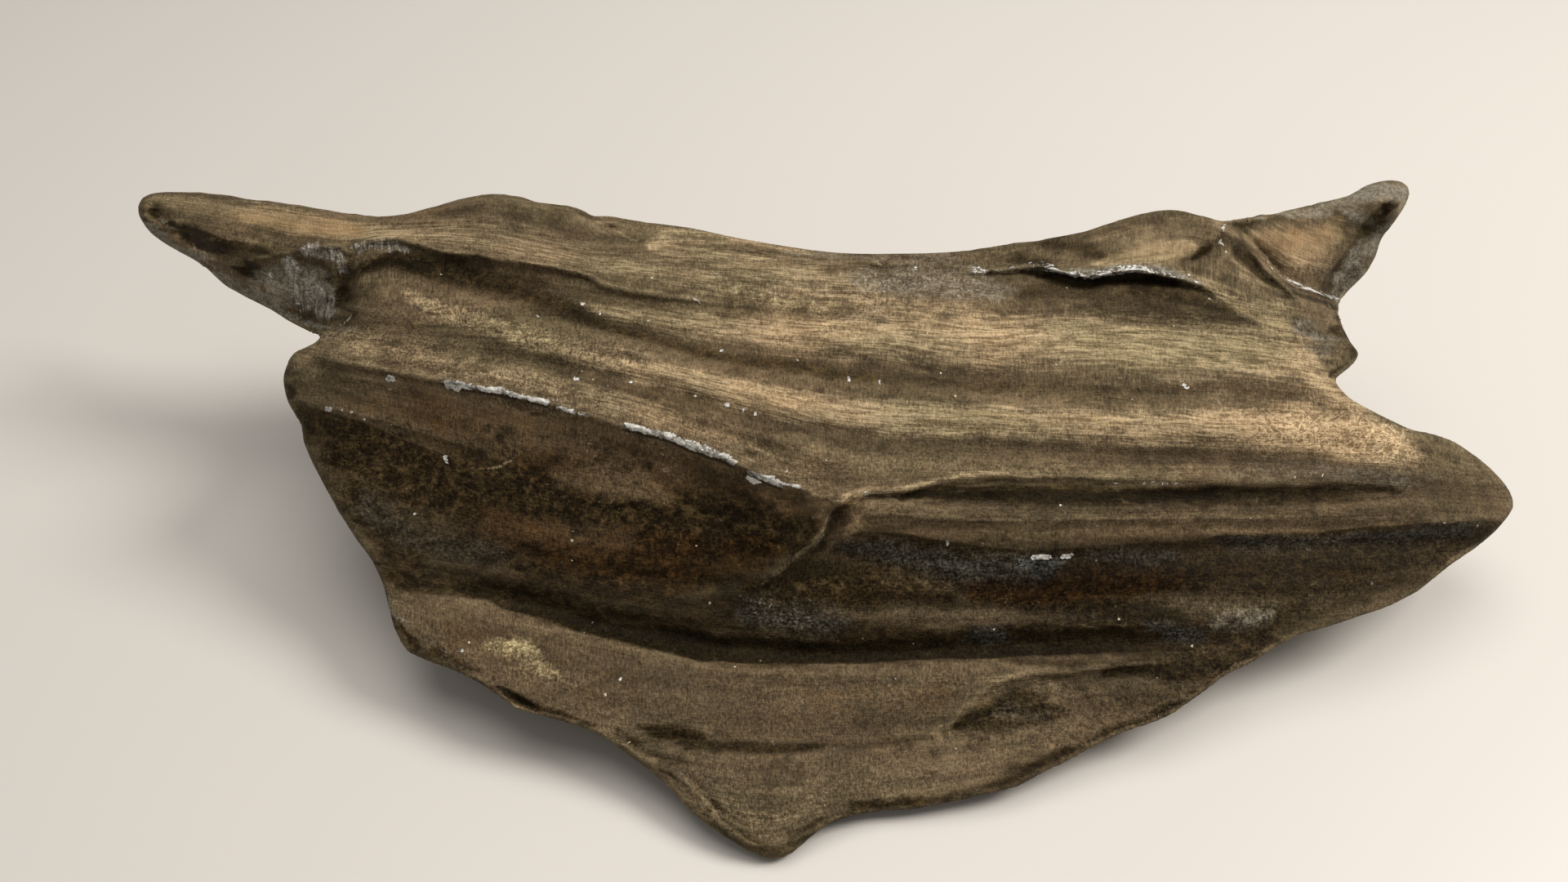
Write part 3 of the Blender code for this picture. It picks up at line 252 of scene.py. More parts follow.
# ---------------------------------------------------------------- grain lines: label, points on the sheet
GRAIN = [
    (262, [(200, 232), (350, 244), (470, 258), (600, 238), (720, 262)]),
    (285, [(190, 243), (350, 262), (450, 274), (560, 266), (650, 270), (730, 286), (843, 288), (969, 303), (1067, 308), (1182, 304), (1290, 290), (1400, 268)]),
    (310, [(210, 254), (350, 278), (450, 284), (560, 284), (650, 294), (765, 306), (896, 309), (994, 322), (1088, 326), (1190, 326), (1300, 308), (1400, 292), (1480, 290)]),
    (340, [(460, 292), (560, 300), (700, 322), (860, 338), (1000, 348), (1100, 352), (1200, 356), (1300, 362), (1400, 368), (1500, 380), (1560, 392)]),
    (372, [(470, 302), (560, 314), (650, 327), (741, 352), (843, 367), (1000, 380), (1150, 388), (1300, 394), (1450, 402), (1560, 414)]),
    (404, [(470, 366), (600, 374), (741, 380), (904, 405), (1026, 412), (1200, 424), (1350, 430), (1500, 436), (1600, 450)]),
    (436, [(450, 394), (540, 396), (700, 397), (773, 408), (884, 434), (986, 447), (1149, 464), (1340, 480), (1561, 488), (1640, 494)]),
    (480, [(400, 408), (520, 412), (620, 420), (700, 435), (782, 455), (884, 480), (986, 501), (1190, 514), (1450, 523), (1650, 533), (1780, 545)]),
    (505, [(390, 424), (520, 434), (620, 440), (700, 456), (802, 476), (904, 504), (1067, 537), (1149, 547), (1400, 560), (1680, 572), (1820, 590)]),
    (570, [(370, 436), (471, 454), (558, 468), (708, 507), (854, 551), (936, 587), (1040, 600), (1155, 589), (1240, 585), (1400, 590), (1600, 592), (1820, 604)]),
    (630, [(370, 500), (500, 540), (640, 580), (800, 610), (950, 640), (1048, 624), (1219, 634), (1410, 631), (1793, 631)]),
    (672, [(400, 580), (500, 604), (640, 636), (800, 664), (950, 676), (1080, 668), (1340, 674), (1640, 666), (1780, 660)]),
    (720, [(440, 650), (560, 676), (700, 705), (850, 726), (960, 726), (1200, 722), (1560, 716), (1700, 706)]),
    (792, [(480, 712), (611, 735), (752, 768), (873, 790), (970, 799), (1283, 794), (1506, 788)]),
    (852, [(500, 780), (650, 818), (800, 848), (950, 856), (1150, 850), (1300, 836), (1460, 820)]),
    (912, [(620, 862), (770, 900), (909, 914), (1044, 912), (1180, 902), (1320, 890)]),
    (985, [(800, 950), (900, 985), (1010, 985), (1130, 970), (1240, 950)]),
    (1045, [(880, 1020), (950, 1045), (1010, 1010)]),
]

# ---------------------------------------------------------------- dabs: strength, hardness, points (u, v, radius)
CALM = [
    (1.0, 0.3, [(205, 300, 18), (280, 336, 22), (360, 364, 24), (400, 350, 24)]),
    (1.0, 0.3, [(1530, 300, 20), (1600, 290, 26), (1660, 290, 30), (1700, 240, 20)]),
    (0.8, 0.3, [(220, 256, 16), (300, 268, 22), (380, 278, 22), (440, 284, 12)]),
    (0.7, 0.3, [(1350, 312, 14), (1420, 306, 20), (1470, 320, 16)]),
    (0.8, 0.3, [(560, 600, 50), (760, 620, 60), (940, 640, 40)]),
]
GRIT = [
    (1.0, 0.4, [(1180, 930, 22), (1260, 890, 42), (1350, 860, 40), (1460, 820, 36), (1540, 780, 22)]),
    (0.7, 0.3, [(940, 760, 40), (1100, 960, 24), (1000, 1010, 26)]),
    (0.8, 0.3, [(1560, 520, 36), (1640, 530, 42), (1720, 550, 30)]),
    (0.5, 0.3, [(1100, 345, 30), (1200, 350, 30)]),
]
TAN = [
    (0.62, 0.1, [(494, 360, 6), (512, 370, 13), (560, 384, 13), (620, 402, 12), (680, 422, 13), (740, 438, 14), (790, 450, 15)]),
    (0.55, 0.1, [(704, 370, 5), (740, 379, 9), (780, 386, 12), (850, 398, 14)]),
    (0.42, 0.1, [(396, 414, 6), (420, 412, 10), (450, 420, 16), (500, 430, 14), (560, 444, 10)]),
    (0.16, 0.1, [(1096, 744, 12), (1150, 748, 16), (1220, 752, 12)]),
    (0.14, 0.1, [(1420, 742, 14), (1490, 738, 16), (1550, 732, 12)]),
    (0.40, 0.1, [(1211, 845, 5), (1232, 834, 6), (1256, 832, 6), (1300, 842, 8)]),
    (0.30, 0.0, [(1440, 330, 7), (1454, 334, 6), (1475, 344, 6)]),
    (0.78, 0.2, [(850, 398, 13), (940, 405, 18), (1040, 410, 24), (1140, 412, 30), (1250, 416, 33),
                 (1400, 422, 33), (1500, 430, 30), (1570, 438, 26)]),
    (0.40, 0.2, [(780, 326, 10), (860, 342, 18), (960, 356, 22), (1050, 366, 22), (1130, 380, 20), (1250, 400, 16), (1400, 404, 16)]),
    (0.90, 0.2, [(760, 444, 12), (884, 476, 19), (986, 498, 21), (1067, 507, 20), (1190, 513, 20), (1340, 517, 19),
                 (1450, 521, 20), (1560, 524, 28), (1640, 532, 34), (1710, 548, 28)]),
    (0.26, 0.1, [(385, 428, 14), (460, 432, 22), (560, 446, 22), (680, 472, 22), (800, 508, 20), (900, 548, 20), (980, 580, 16)]),
    (0.62, 0.3, [(1046, 612, 4), (1062, 605, 5), (1110, 600, 5), (1155, 589, 6), (1206, 583, 6), (1240, 584, 4)]),
    (0.66, 0.2, [(1470, 356, 8), (1510, 376, 18), (1552, 398, 26), (1590, 432, 28), (1620, 466, 24), (1650, 500, 26), (1680, 530, 26)]),
    (0.32, 0.2, [(1508, 316, 8), (1532, 342, 14), (1562, 372, 18)]),
    (0.66, 0.4, [(1524, 290, 8), (1556, 296, 18), (1594, 306, 26), (1612, 296, 22), (1636, 270, 12)]),
    (0.50, 0.2, [(190, 244, 6), (250, 252, 12), (320, 262, 16)]),
    (0.98, 0.2, [(300, 262, 10), (350, 268, 16), (400, 276, 17), (440, 284, 12), (500, 286, 8)]),
    (0.55, 0.1, [(500, 286, 12), (600, 292, 20), (700, 312, 20), (800, 334, 18)]),
    (0.50, 0.1, [(790, 286, 6), (860, 290, 8), (930, 300, 7), (1000, 312, 6)]),
    (0.58, 0.1, [(800, 300, 10), (900, 322, 16), (1000, 338, 16), (1080, 350, 12)]),
    (0.90, 0.3, [(1350, 322, 7), (1390, 310, 14), (1436, 308, 14), (1462, 304, 8)]),
    (0.50, 0.3, [(1440, 334, 8), (1480, 346, 10), (1510, 362, 10)]),
    (0.14, 0.1, [(1060, 628, 9), (1219, 636, 15), (1410, 632, 14), (1600, 626, 10)]),
    (0.30, 0.2, [(600, 268, 10), (640, 300, 12), (740, 322, 12)]),
    (0.16, 0.1, [(900, 840, 18), (1050, 850, 22), (1180, 840, 16)]),
    (0.30, 0.0, [(880, 980, 24), (930, 1006, 26), (1000, 990, 22)]),
]
# dark stone and painted shade: dabs under arrises and ledges, along the lower outline, in grooves and hollows, and over
# slopes turned away from the lamps
DARK_AND_SHADE = [
    (0.66, 0.1, [(848, 919, 7), (876, 922, 8)]),
    (0.85, 0.2, [(468, 712, 8), (476, 738, 9), (484, 760, 7)]),
    (0.70, 0.2, [(524, 798, 8), (552, 806, 9), (584, 824, 8)]),
    (0.75, 0.2, [(394, 640, 7), (403, 664, 8)]),
    (1.10, 0.2, [(450, 328, 9), (480, 320, 16), (524, 326, 17)]),
    (0.95, 0.0, [(500, 322, 17), (560, 332, 22), (620, 348, 22)]),
    (0.78, 0.0, [(600, 342, 24), (660, 360, 22), (700, 374, 18)]),
    (0.30, 0.0, [(640, 342, 16), (700, 358, 18), (760, 370, 12)]),
    (0.55, 0.2, [(412, 372, 10), (430, 350, 14), (446, 336, 10)]),
    (0.42, 0.0, [(740, 364, 10), (800, 374, 12), (870, 385, 12), (940, 391, 11), (1010, 397, 8)]),
    (0.74, 0.0, [(660, 370, 10), (690, 380, 14), (735, 392, 14), (775, 405, 14), (820, 418, 15), (884, 434, 15), (986, 450, 15), (1060, 456, 14)]),
    (0.46, 0.0, [(440, 384, 12), (500, 398, 14), (560, 412, 14), (620, 428, 13), (700, 450, 13)]),
    (0.56, 0.0, [(1046, 446, 10), (1090, 458, 16), (1149, 466, 17), (1220, 474, 16)]),
    (0.40, 0.3, [(1180, 468, 13), (1251, 474, 15), (1340, 480, 15), (1450, 484, 15), (1540, 488, 14), (1590, 490, 8)]),
    (0.40, 0.2, [(600, 440, 6), (700, 458, 10), (802, 482, 12), (904, 508, 13), (986, 528, 13), (1067, 542, 13), (1180, 550, 14), (1300, 553, 15), (1450, 560, 14), (1600, 566, 12), (1700, 578, 9)]),
    (0.50, 0.3, [(840, 303, 4), (900, 307, 6), (960, 314, 6), (1010, 322, 4)]),
    (0.62, 0.0, [(1250, 356, 14), (1300, 362, 20), (1360, 368, 26), (1420, 376, 28), (1480, 388, 22), (1518, 398, 10)]),
    (1.00, 0.2, [(1286, 338, 4), (1316, 345, 5), (1338, 350, 6), (1362, 349, 7), (1398, 345, 8), (1430, 347, 7)]),
    (0.62, 0.0, [(1430, 348, 8), (1456, 354, 9), (1476, 364, 9), (1500, 378, 7)]),
    (0.80, 0.1, [(1380, 358, 10), (1430, 362, 12), (1470, 372, 12), (1500, 386, 8)]),
    (0.62, 0.2, [(1284, 298, 8), (1318, 300, 12), (1350, 310, 9)]),
    (0.70, 0.3, [(1226, 320, 4), (1250, 318, 7), (1276, 322, 7), (1300, 330, 4)]),
    (0.85, 0.2, [(1462, 318, 4), (1474, 310, 7), (1486, 304, 8), (1494, 298, 5)]),
    (0.80, 0.1, [(1502, 284, 5), (1512, 298, 8), (1526, 314, 9), (1543, 332, 8), (1562, 346, 5), (1600, 361, 4), (1634, 374, 3)]),
    (0.38, 0.0, [(1508, 316, 12), (1530, 338, 12), (1562, 360, 12)]),
    (0.66, 0.1, [(1592, 392, 10), (1606, 404, 16), (1622, 412, 16)]),
    (0.85, 0.2, [(1636, 378, 5), (1642, 398, 9), (1652, 420, 11), (1656, 434, 8)]),
    (0.75, 0.2, [(1656, 436, 6), (1646, 448, 9), (1636, 460, 5)]),
    (0.36, 0.0, [(1612, 344, 9), (1626, 326, 9), (1642, 310, 7)]),
    (0.85, 0.6, [(1688, 249, 3), (1697, 251, 6), (1708, 252, 7)]), (0.85, 0.6, [(1712, 250, 5), (1706, 262, 6), (1700, 270, 4)]),
    (0.50, 0.3, [(1636, 262, 10), (1656, 268, 12), (1672, 276, 9)]),
    (0.95, 0.2, [(181, 253, 4), (190, 258, 7), (200, 264, 4)]),
    (0.92, 0.1, [(211, 267, 4), (224, 276, 9), (244, 288, 11), (264, 299, 10), (284, 304, 6)]),
    (0.98, 0.3, [(298, 318, 6), (308, 326, 12), (320, 334, 12), (334, 338, 7)]),
    (0.85, 0.3, [(352, 386, 3), (368, 393, 5), (382, 400, 3)]),
    (0.60, 0.2, [(266, 300, 10), (290, 306, 10), (320, 306, 8)]),
    (0.62, 0.1, [(440, 316, 10), (432, 344, 14), (428, 370, 14), (420, 394, 9)]),
    (0.90, 0.3, [(418, 326, 5), (414, 344, 6), (410, 362, 5)]),
    (0.30, 0.2, [(372, 470, 14), (420, 490, 26), (520, 510, 30), (620, 535, 30), (760, 560, 26), (880, 585, 20)]),
    (0.80, 0.3, [(420, 560, 34), (540, 590, 60), (700, 620, 72), (840, 640, 66), (930, 650, 52), (985, 640, 26)]),
    (0.60, 0.3, [(840, 585, 18), (920, 610, 24), (985, 625, 22)]),
    (0.74, 0.3, [(430, 600, 24), (500, 670, 36), (640, 690, 44), (800, 710, 50), (920, 730, 40), (980, 750, 24)]),
    (0.78, 0.1, [(480, 700, 14), (560, 708, 18), (660, 730, 20), (780, 752, 20), (900, 764, 20), (1000, 770, 20)]),
    (0.95, 0.2, [(972, 640, 12), (984, 656, 15), (972, 674, 12)]),
    (0.55, 0.0, [(1012, 652, 7), (1000, 672, 9), (980, 692, 10), (950, 706, 10)]),
    (0.80, 0.3, [(350, 462, 7), (354, 486, 8), (364, 506, 9), (384, 516, 8)]),
    (1.12, 0.3, [(1100, 612, 4), (1140, 608, 8), (1220, 605, 13), (1300, 605, 14), (1400, 606, 14), (1480, 606, 13)]),
    (0.95, 0.2, [(1460, 606, 12), (1554, 606, 13), (1640, 604, 12), (1710, 601, 8)]),
    (0.42, 0.1, [(1120, 628, 10), (1219, 634, 16), (1410, 632, 16), (1600, 628, 14), (1793, 624, 12)]),
    (0.80, 0.1, [(930, 730, 26), (1000, 716, 36), (1080, 718, 36), (1160, 730, 26)]),
    (1.00, 0.3, [(1034, 672, 18), (1090, 680, 28), (1160, 694, 30), (1240, 700, 28)]),
    (0.95, 0.2, [(1230, 700, 28), (1300, 706, 34), (1400, 704, 32), (1460, 706, 28)]),
    (0.78, 0.2, [(1400, 696, 30), (1500, 696, 34), (1640, 692, 32), (1760, 674, 24), (1826, 654, 14)]),
    (0.95, 0.1, [(1500, 664, 6), (1600, 660, 9), (1700, 656, 10), (1780, 650, 10), (1836, 644, 8)]),
    (0.80, 0.1, [(1200, 726, 20), (1280, 738, 28), (1360, 746, 30), (1440, 758, 26)]),
    (0.66, 0.1, [(1540, 716, 26), (1640, 720, 24), (1720, 704, 18)]),
    (0.80, 0.1, [(900, 756, 24), (1000, 768, 28), (1100, 776, 22), (1180, 780, 20)]),
    (0.72, 0.1, [(1400, 768, 28), (1500, 764, 28), (1600, 746, 22)]),
    (0.40, 0.2, [(1690, 590, 16), (1760, 600, 22), (1820, 612, 18)]),
    (0.95, 0.3, [(500, 712, 5), (560, 720, 8), (611, 734, 11), (679, 752, 13), (752, 769, 15)]),
    (1.15, 0.3, [(700, 758, 12), (752, 769, 15), (825, 783, 18), (873, 790, 20), (970, 795, 21), (1091, 796, 20), (1200, 793, 18)]),
    (1.02, 0.0, [(1160, 790, 20), (1250, 784, 26), (1340, 780, 26), (1420, 780, 24)]),
    (0.85, 0.0, [(1400, 786, 26), (1480, 784, 26), (1560, 772, 20)]),
    (0.95, 0.0, [(780, 894, 6), (800, 898, 13), (824, 902, 14), (850, 908, 10)]),
    (0.85, 0.0, [(830, 908, 9), (860, 914, 12), (900, 918, 11), (950, 917, 11), (1000, 912, 9)]),
    (0.55, 0.0, [(960, 916, 9), (1044, 908, 9), (1110, 904, 8), (1150, 902, 6)]),
    (0.62, 0.0, [(752, 899, 3), (772, 911, 4), (800, 923, 5), (822, 938, 5.5), (842, 951, 5), (862, 970, 4), (880, 992, 4)]),
    (0.62, 0.0, [(890, 1004, 8), (908, 1020, 10), (930, 1034, 8)]),
    (1.10, 0.4, [(618, 848, 5), (632, 856, 9), (646, 864, 9), (656, 872, 5)]),
    (1.00, 0.2, [(1184, 886, 9), (1206, 874, 13), (1232, 862, 15), (1262, 858, 17), (1288, 868, 14)]),
    (0.70, 0.0, [(1190, 882, 14), (1250, 882, 18), (1296, 872, 18)]),
    (0.34, 0.2, [(1276, 850, 16), (1340, 846, 24), (1400, 850, 22)]),
    (0.95, 0.1, [(1350, 822, 9), (1400, 816, 18), (1450, 820, 24), (1500, 804, 24), (1560, 780, 16)]),
    (0.66, 0.0, [(1226, 808, 7), (1262, 811, 9), (1300, 812, 10), (1350, 812, 10)]),
    (0.34, 0.0, [(1290, 872, 22), (1360, 866, 24), (1420, 848, 20)]),
    (0.34, 0.0, [(660, 850, 16), (760, 860, 26), (880, 880, 32), (1000, 880, 36), (1110, 870, 36), (1180, 846, 24)]),
    (0.36, 0.0, [(560, 760, 16), (660, 800, 22), (760, 830, 26), (900, 842, 26), (1100, 836, 26)]),
    (0.45, 0.1, [(1350, 872, 20), (1420, 856, 22), (1480, 826, 16)]),
    (0.90, 0.3, [(474, 736, 6), (482, 768, 7), (496, 794, 8), (522, 807, 8), (550, 817, 9), (583, 833, 9), (611, 850, 9), (634, 861, 10), (658, 873, 7), (693, 884, 5), (726, 895, 3)]),
    (0.62, 0.3, [(868, 1000, 6), (890, 1020, 10), (922, 1038, 12), (958, 1044, 12), (986, 1028, 8), (1012, 1010, 6)]),
    (0.78, 0.2, [(1012, 1008, 5), (1063, 992, 8), (1112, 986, 11), (1194, 970, 12), (1251, 952, 14), (1308, 926, 10), (1357, 902, 8), (1410, 882, 8), (1460, 856, 9), (1520, 816, 12)]),
    (0.55, 0.1, [(1560, 778, 14), (1620, 752, 16), (1690, 726, 16), (1760, 694, 12)]),
]
RUST = [
    (0.45, 0.2, [(640, 570, 24), (760, 560, 26), (870, 590, 30), (960, 625, 22)]),
    (0.75, 0.2, [(600, 640, 24), (720, 680, 40), (840, 690, 40), (940, 670, 26)]),
    (0.85, 0.1, [(1200, 722, 14), (1270, 720, 22), (1350, 714, 24), (1440, 708, 18)]),
    (0.45, 0.1, [(1440, 708, 16), (1540, 700, 18), (1660, 706, 14)]),
    (0.35, 0.3, [(430, 500, 20), (560, 510, 26), (680, 530, 24)]),
    (0.35, 0.3, [(1000, 860, 18), (1120, 862, 22), (1160, 846, 12)]),
    (0.30, 0.3, [(540, 770, 22), (640, 800, 26)]),
]
SLATE = [
    (0.46, 0.0, [(1026, 668, 16), (1070, 676, 26), (1130, 688, 30), (1190, 694, 30), (1250, 694, 24)]),
    (0.74, 0.0, [(1248, 690, 14), (1270, 694, 20), (1292, 690, 13)]),
    (0.50, 0.0, [(1340, 680, 14), (1400, 680, 18), (1440, 678, 12)]),
    (0.50, 0.0, [(920, 752, 24), (975, 756, 30), (1030, 760, 24)]),
    (0.60, 0.0, [(1186, 774, 16), (1206, 778, 18), (1226, 778, 12)]),
    (0.60, 0.0, [(1424, 772, 16), (1446, 772, 18), (1470, 774, 12)]),
    (0.45, 0.0, [(1500, 664, 12), (1640, 662, 15), (1740, 656, 18), (1800, 648, 12)]),
    (0.40, 0.0, [(440, 610, 24), (520, 660, 34), (600, 680, 26)]),
    (0.35, 0.0, [(1540, 560, 14), (1640, 574, 14), (1740, 588, 14)]),
    (0.35, 0.0, [(1236, 868, 18), (1276, 876, 16)]),
    (0.45, 0.1, [(1256, 326, 10), (1280, 330, 8)]),
]
WHITE = [
    # single chips and specks
    (0.95, 0.5, [(882, 429, 2.5)]), (0.95, 0.5, [(975, 443, 2.5)]), (1.00, 0.5, [(1038, 463, 3)]), (1.00, 0.5, [(1076, 466, 3)]), (1.00, 0.5, [(889, 496, 3)]),
    (1.00, 0.5, [(911, 500, 2.2), (912, 505, 2)]), (0.95, 0.5, [(922, 505, 2), (928, 509, 2)]), (1.00, 0.5, [(1027, 510, 2.5)]), (0.90, 0.5, [(1052, 577, 2)]), (0.90, 0.5, [(963, 578, 2)]),
    (1.00, 0.5, [(705, 464, 3.5)]), (0.95, 0.5, [(740, 473, 2.5)]), (0.95, 0.5, [(769, 470, 2.5)]), (0.90, 0.5, [(508, 629, 2)]), (0.90, 0.5, [(701, 650, 2.5)]),
    (0.95, 0.5, [(417, 503, 2.5)]), (0.95, 0.5, [(430, 505, 2.5)]), (0.90, 0.5, [(446, 515, 2.2)]), (0.90, 0.5, [(1458, 336, 2.5)]), (0.90, 0.5, [(1483, 365, 3)]),
    (0.85, 0.5, [(566, 795, 2.5)]), (0.95, 0.5, [(760, 831, 2.5)]), (0.90, 0.5, [(1218, 771, 2.2)]), (0.95, 0.5, [(1097, 831, 2.5)]), (0.90, 0.5, [(1343, 643, 3)]),
    (0.90, 0.5, [(1619, 581, 3)]), (0.90, 0.5, [(1300, 618, 2)]), (0.95, 0.5, [(1448, 473, 3), (1454, 475, 2)]), (0.90, 0.5, [(1386, 488, 2.5)]), (0.85, 0.5, [(1768, 640, 2.5)]),
    (0.90, 0.5, [(478, 520, 2)]), (0.85, 0.5, [(690, 333, 2.5)]), (0.90, 0.5, [(712, 374, 2.5)]), (0.85, 0.5, [(660, 386, 2.5)]), (0.90, 0.5, [(735, 382, 2.5)]),
    (0.92, 0.3, [(545, 470, 3), (560, 469, 5), (578, 472, 4)]), (0.92, 0.3, [(596, 476, 4), (618, 481, 5), (640, 486, 4)]), (0.90, 0.3, [(652, 489, 4), (668, 493, 4)]),
    (0.70, 0.2, [(684, 500, 4), (704, 505, 5), (722, 510, 4)]), (0.60, 0.2, [(736, 515, 3), (756, 519, 3)]),
    (0.95, 0.3, [(786, 525, 2.5), (810, 531, 4), (840, 541, 5), (870, 552, 6), (893, 562, 5)]),
    (1.00, 0.5, [(914, 584, 3), (921, 589, 4.5), (929, 591, 3)]), (0.95, 0.4, [(936, 584, 3), (956, 590, 3), (985, 599, 2)]),
    (1.00, 0.5, [(475, 463, 5), (480, 464, 4)]),
    (1.00, 0.5, [(549, 474, 5), (560, 476, 5)]),
    (0.90, 0.5, [(399, 500, 3.5), (404, 502, 3)]),
    (0.80, 0.5, [(547, 560, 4), (549, 566, 3)]),
    (0.90, 0.5, [(1159, 662, 3.5), (1162, 668, 3)]),
    (1.00, 0.5, [(1266, 684, 3.5), (1284, 683, 4)]),
    (1.00, 0.5, [(1300, 683, 3.5), (1314, 681, 3.5)]),
    (0.55, 0.3, [(1190, 335, 3), (1240, 326, 5), (1270, 324, 7), (1290, 328, 6)]),
    (0.66, 0.3, [(1310, 334, 4), (1336, 337, 6), (1362, 332, 6), (1390, 329, 6), (1415, 332, 6), (1440, 338, 4), (1468, 346, 3)]),
    (0.70, 0.3, [(1500, 274, 2.5), (1497, 284, 3.5), (1493, 294, 5), (1497, 301, 3)]),
    (0.34, 0.3, [(1521, 288, 2), (1544, 308, 2), (1560, 331, 2)]),
    (0.62, 0.3, [(1576, 342, 2.2), (1598, 351, 3.4), (1616, 356, 3.4), (1638, 367, 3)]),
    (0.50, 0.2, [(362, 306, 3), (380, 303, 5), (400, 303, 6), (412, 310, 6), (426, 312, 4), (440, 302, 6), (458, 294, 7), (474, 296, 5), (500, 300, 3)]),
    (0.36, 0.3, [(690, 256, 2.2), (711, 264, 2.6), (726, 272, 2.6), (742, 280, 2.4), (772, 294, 2)]),
    (0.55, 0.3, [(1340, 592, 3), (1400, 592, 4), (1447, 593, 3)]),
    (0.45, 0.3, [(1062, 330, 6), (1120, 330, 8), (1180, 332, 8), (1230, 328, 6)]),
    (0.50, 0.3, [(392, 414, 2), (412, 402, 2.5), (430, 388, 2.5), (436, 378, 2)]),
    (0.45, 0.3, [(1030, 622, 2.5), (1019, 632, 2.5), (1011, 653, 2.5), (996, 674, 2.5)]),
    (0.46, 0.4, [(204, 272, 2), (221, 291, 2.4), (242, 300, 2.4), (263, 322, 2.8), (282, 336, 2.4), (292, 342, 2)]),
    (0.90, 0.5, [(334, 336, 5)]), (0.60, 0.4, [(352, 356, 3), (366, 372, 3)]),
    (0.50, 0.3, [(340, 345, 4), (356, 366, 4), (376, 390, 3)]),
    (0.45, 0.3, [(948, 312, 3), (962, 316, 3)]),
]
SPECK = [
    (0.85, 0.2, [(1040, 340, 20), (1120, 342, 24), (1190, 348, 20)]),
    (0.60, 0.3, [(860, 340, 16), (960, 350, 26), (1060, 380, 26)]),
    (0.70, 0.3, [(741, 352, 6), (802, 364, 7), (860, 370, 7)]),
    (0.60, 0.3, [(600, 480, 20), (760, 510, 22), (820, 560, 26)]),
    (0.50, 0.3, [(700, 540, 30), (820, 570, 24)]),
    (0.60, 0.3, [(930, 745, 24), (990, 750, 26)]),
    (0.50, 0.0, [(1470, 742, 14), (1506, 748, 18), (1540, 746, 14)]),
    (0.60, 0.0, [(1411, 862, 12), (1440, 866, 12)]),
    (0.60, 0.0, [(460, 444, 14), (520, 450, 12), (580, 464, 8)]),
    (0.50, 0.3, [(490, 750, 10), (520, 790, 10)]),
    (0.60, 0.3, [(1460, 488, 12), (1560, 490, 12)]),
    (0.34, 0.0, [(1060, 735, 20), (1200, 738, 24), (1350, 730, 26), (1480, 735, 24)]),
    (0.36, 0.0, [(620, 600, 24), (720, 610, 30), (820, 640, 30)]),
]
OCHRE = [
    (0.84, 0.1, [(622, 794, 13), (640, 794, 18), (652, 802, 14)]),
    (0.55, 0.0, [(610, 790, 18), (640, 806, 26), (668, 824, 18)]),
    (0.30, 0.0, [(500, 364, 12), (520, 370, 18), (560, 384, 14)]),
    (0.35, 0.3, [(1350, 518, 12), (1390, 518, 10)]),
    (0.35, 0.3, [(900, 360, 14), (1000, 372, 16)]),
]
ASH = [
    (0.65, 0.5, [(520, 770, 24), (620, 820, 36), (760, 850, 44), (900, 860, 44), (1050, 860, 44), (1180, 830, 26)]),
    (0.60, 0.5, [(800, 950, 8), (880, 960, 30), (980, 970, 50), (1100, 940, 40), (1200, 940, 26)]),
    (0.40, 0.4, [(800, 290, 12), (900, 300, 10), (1050, 316, 10), (1160, 318, 10)]),
    (0.30, 0.4, [(420, 505, 20), (520, 525, 26), (620, 545, 30), (740, 545, 26), (840, 570, 20)]),
    (0.40, 0.4, [(1300, 890, 30), (1400, 850, 26)]),
    (0.30, 0.3, [(720, 640, 30), (800, 600, 20)]),
    (0.45, 0.4, [(250, 322, 12), (330, 358, 14), (386, 384, 12)]),
    (0.45, 0.4, [(1644, 348, 3), (1662, 324, 4), (1684, 294, 4)]),
]
FACE = [
    (1.0, 0.5, [(385, 500, 24), (440, 560, 44), (540, 560, 66), (680, 590, 72), (800, 620, 66), (900, 640, 46), (975, 645, 22)]),
    (1.0, 0.5, [(440, 610, 30), (520, 670, 46), (640, 690, 46), (780, 690, 46), (880, 690, 40), (940, 690, 24)]),
]
SCRATCH = [
    (0.80, 0.3, [(352, 318, 8), (366, 340, 20), (384, 360, 26), (400, 378, 16)]),
    (0.75, 0.2, [(370, 306, 7), (392, 308, 13), (412, 314, 12), (420, 330, 12)]),
    (0.66, 0.2, [(436, 304, 8), (456, 300, 9), (480, 302, 8), (500, 306, 5)]),
    (0.35, 0.2, [(230, 300, 8), (262, 326, 10), (300, 350, 12), (340, 374, 14)]),
    (0.22, 0.2, [(1636, 350, 10), (1656, 328, 12), (1678, 298, 12)]),
    (0.40, 0.2, [(1690, 232, 12), (1708, 230, 12)]),
]
WARM = [
    (0.55, 0.1, [(280, 262, 10), (330, 268, 18), (390, 276, 18), (440, 282, 12)]),
    (0.42, 0.1, [(1536, 284, 12), (1580, 294, 24), (1610, 286, 22), (1636, 262, 12), (1652, 248, 8)]),
    (0.30, 0.2, [(1286, 304, 10), (1320, 304, 14), (1356, 308, 12)]),
    (0.25, 0.2, [(1180, 512, 16), (1300, 516, 16), (1450, 520, 16)]),
    (0.30, 0.2, [(900, 482, 16), (1000, 504, 16)]),
    (0.25, 0.2, [(980, 408, 14), (1060, 412, 16)]),
]
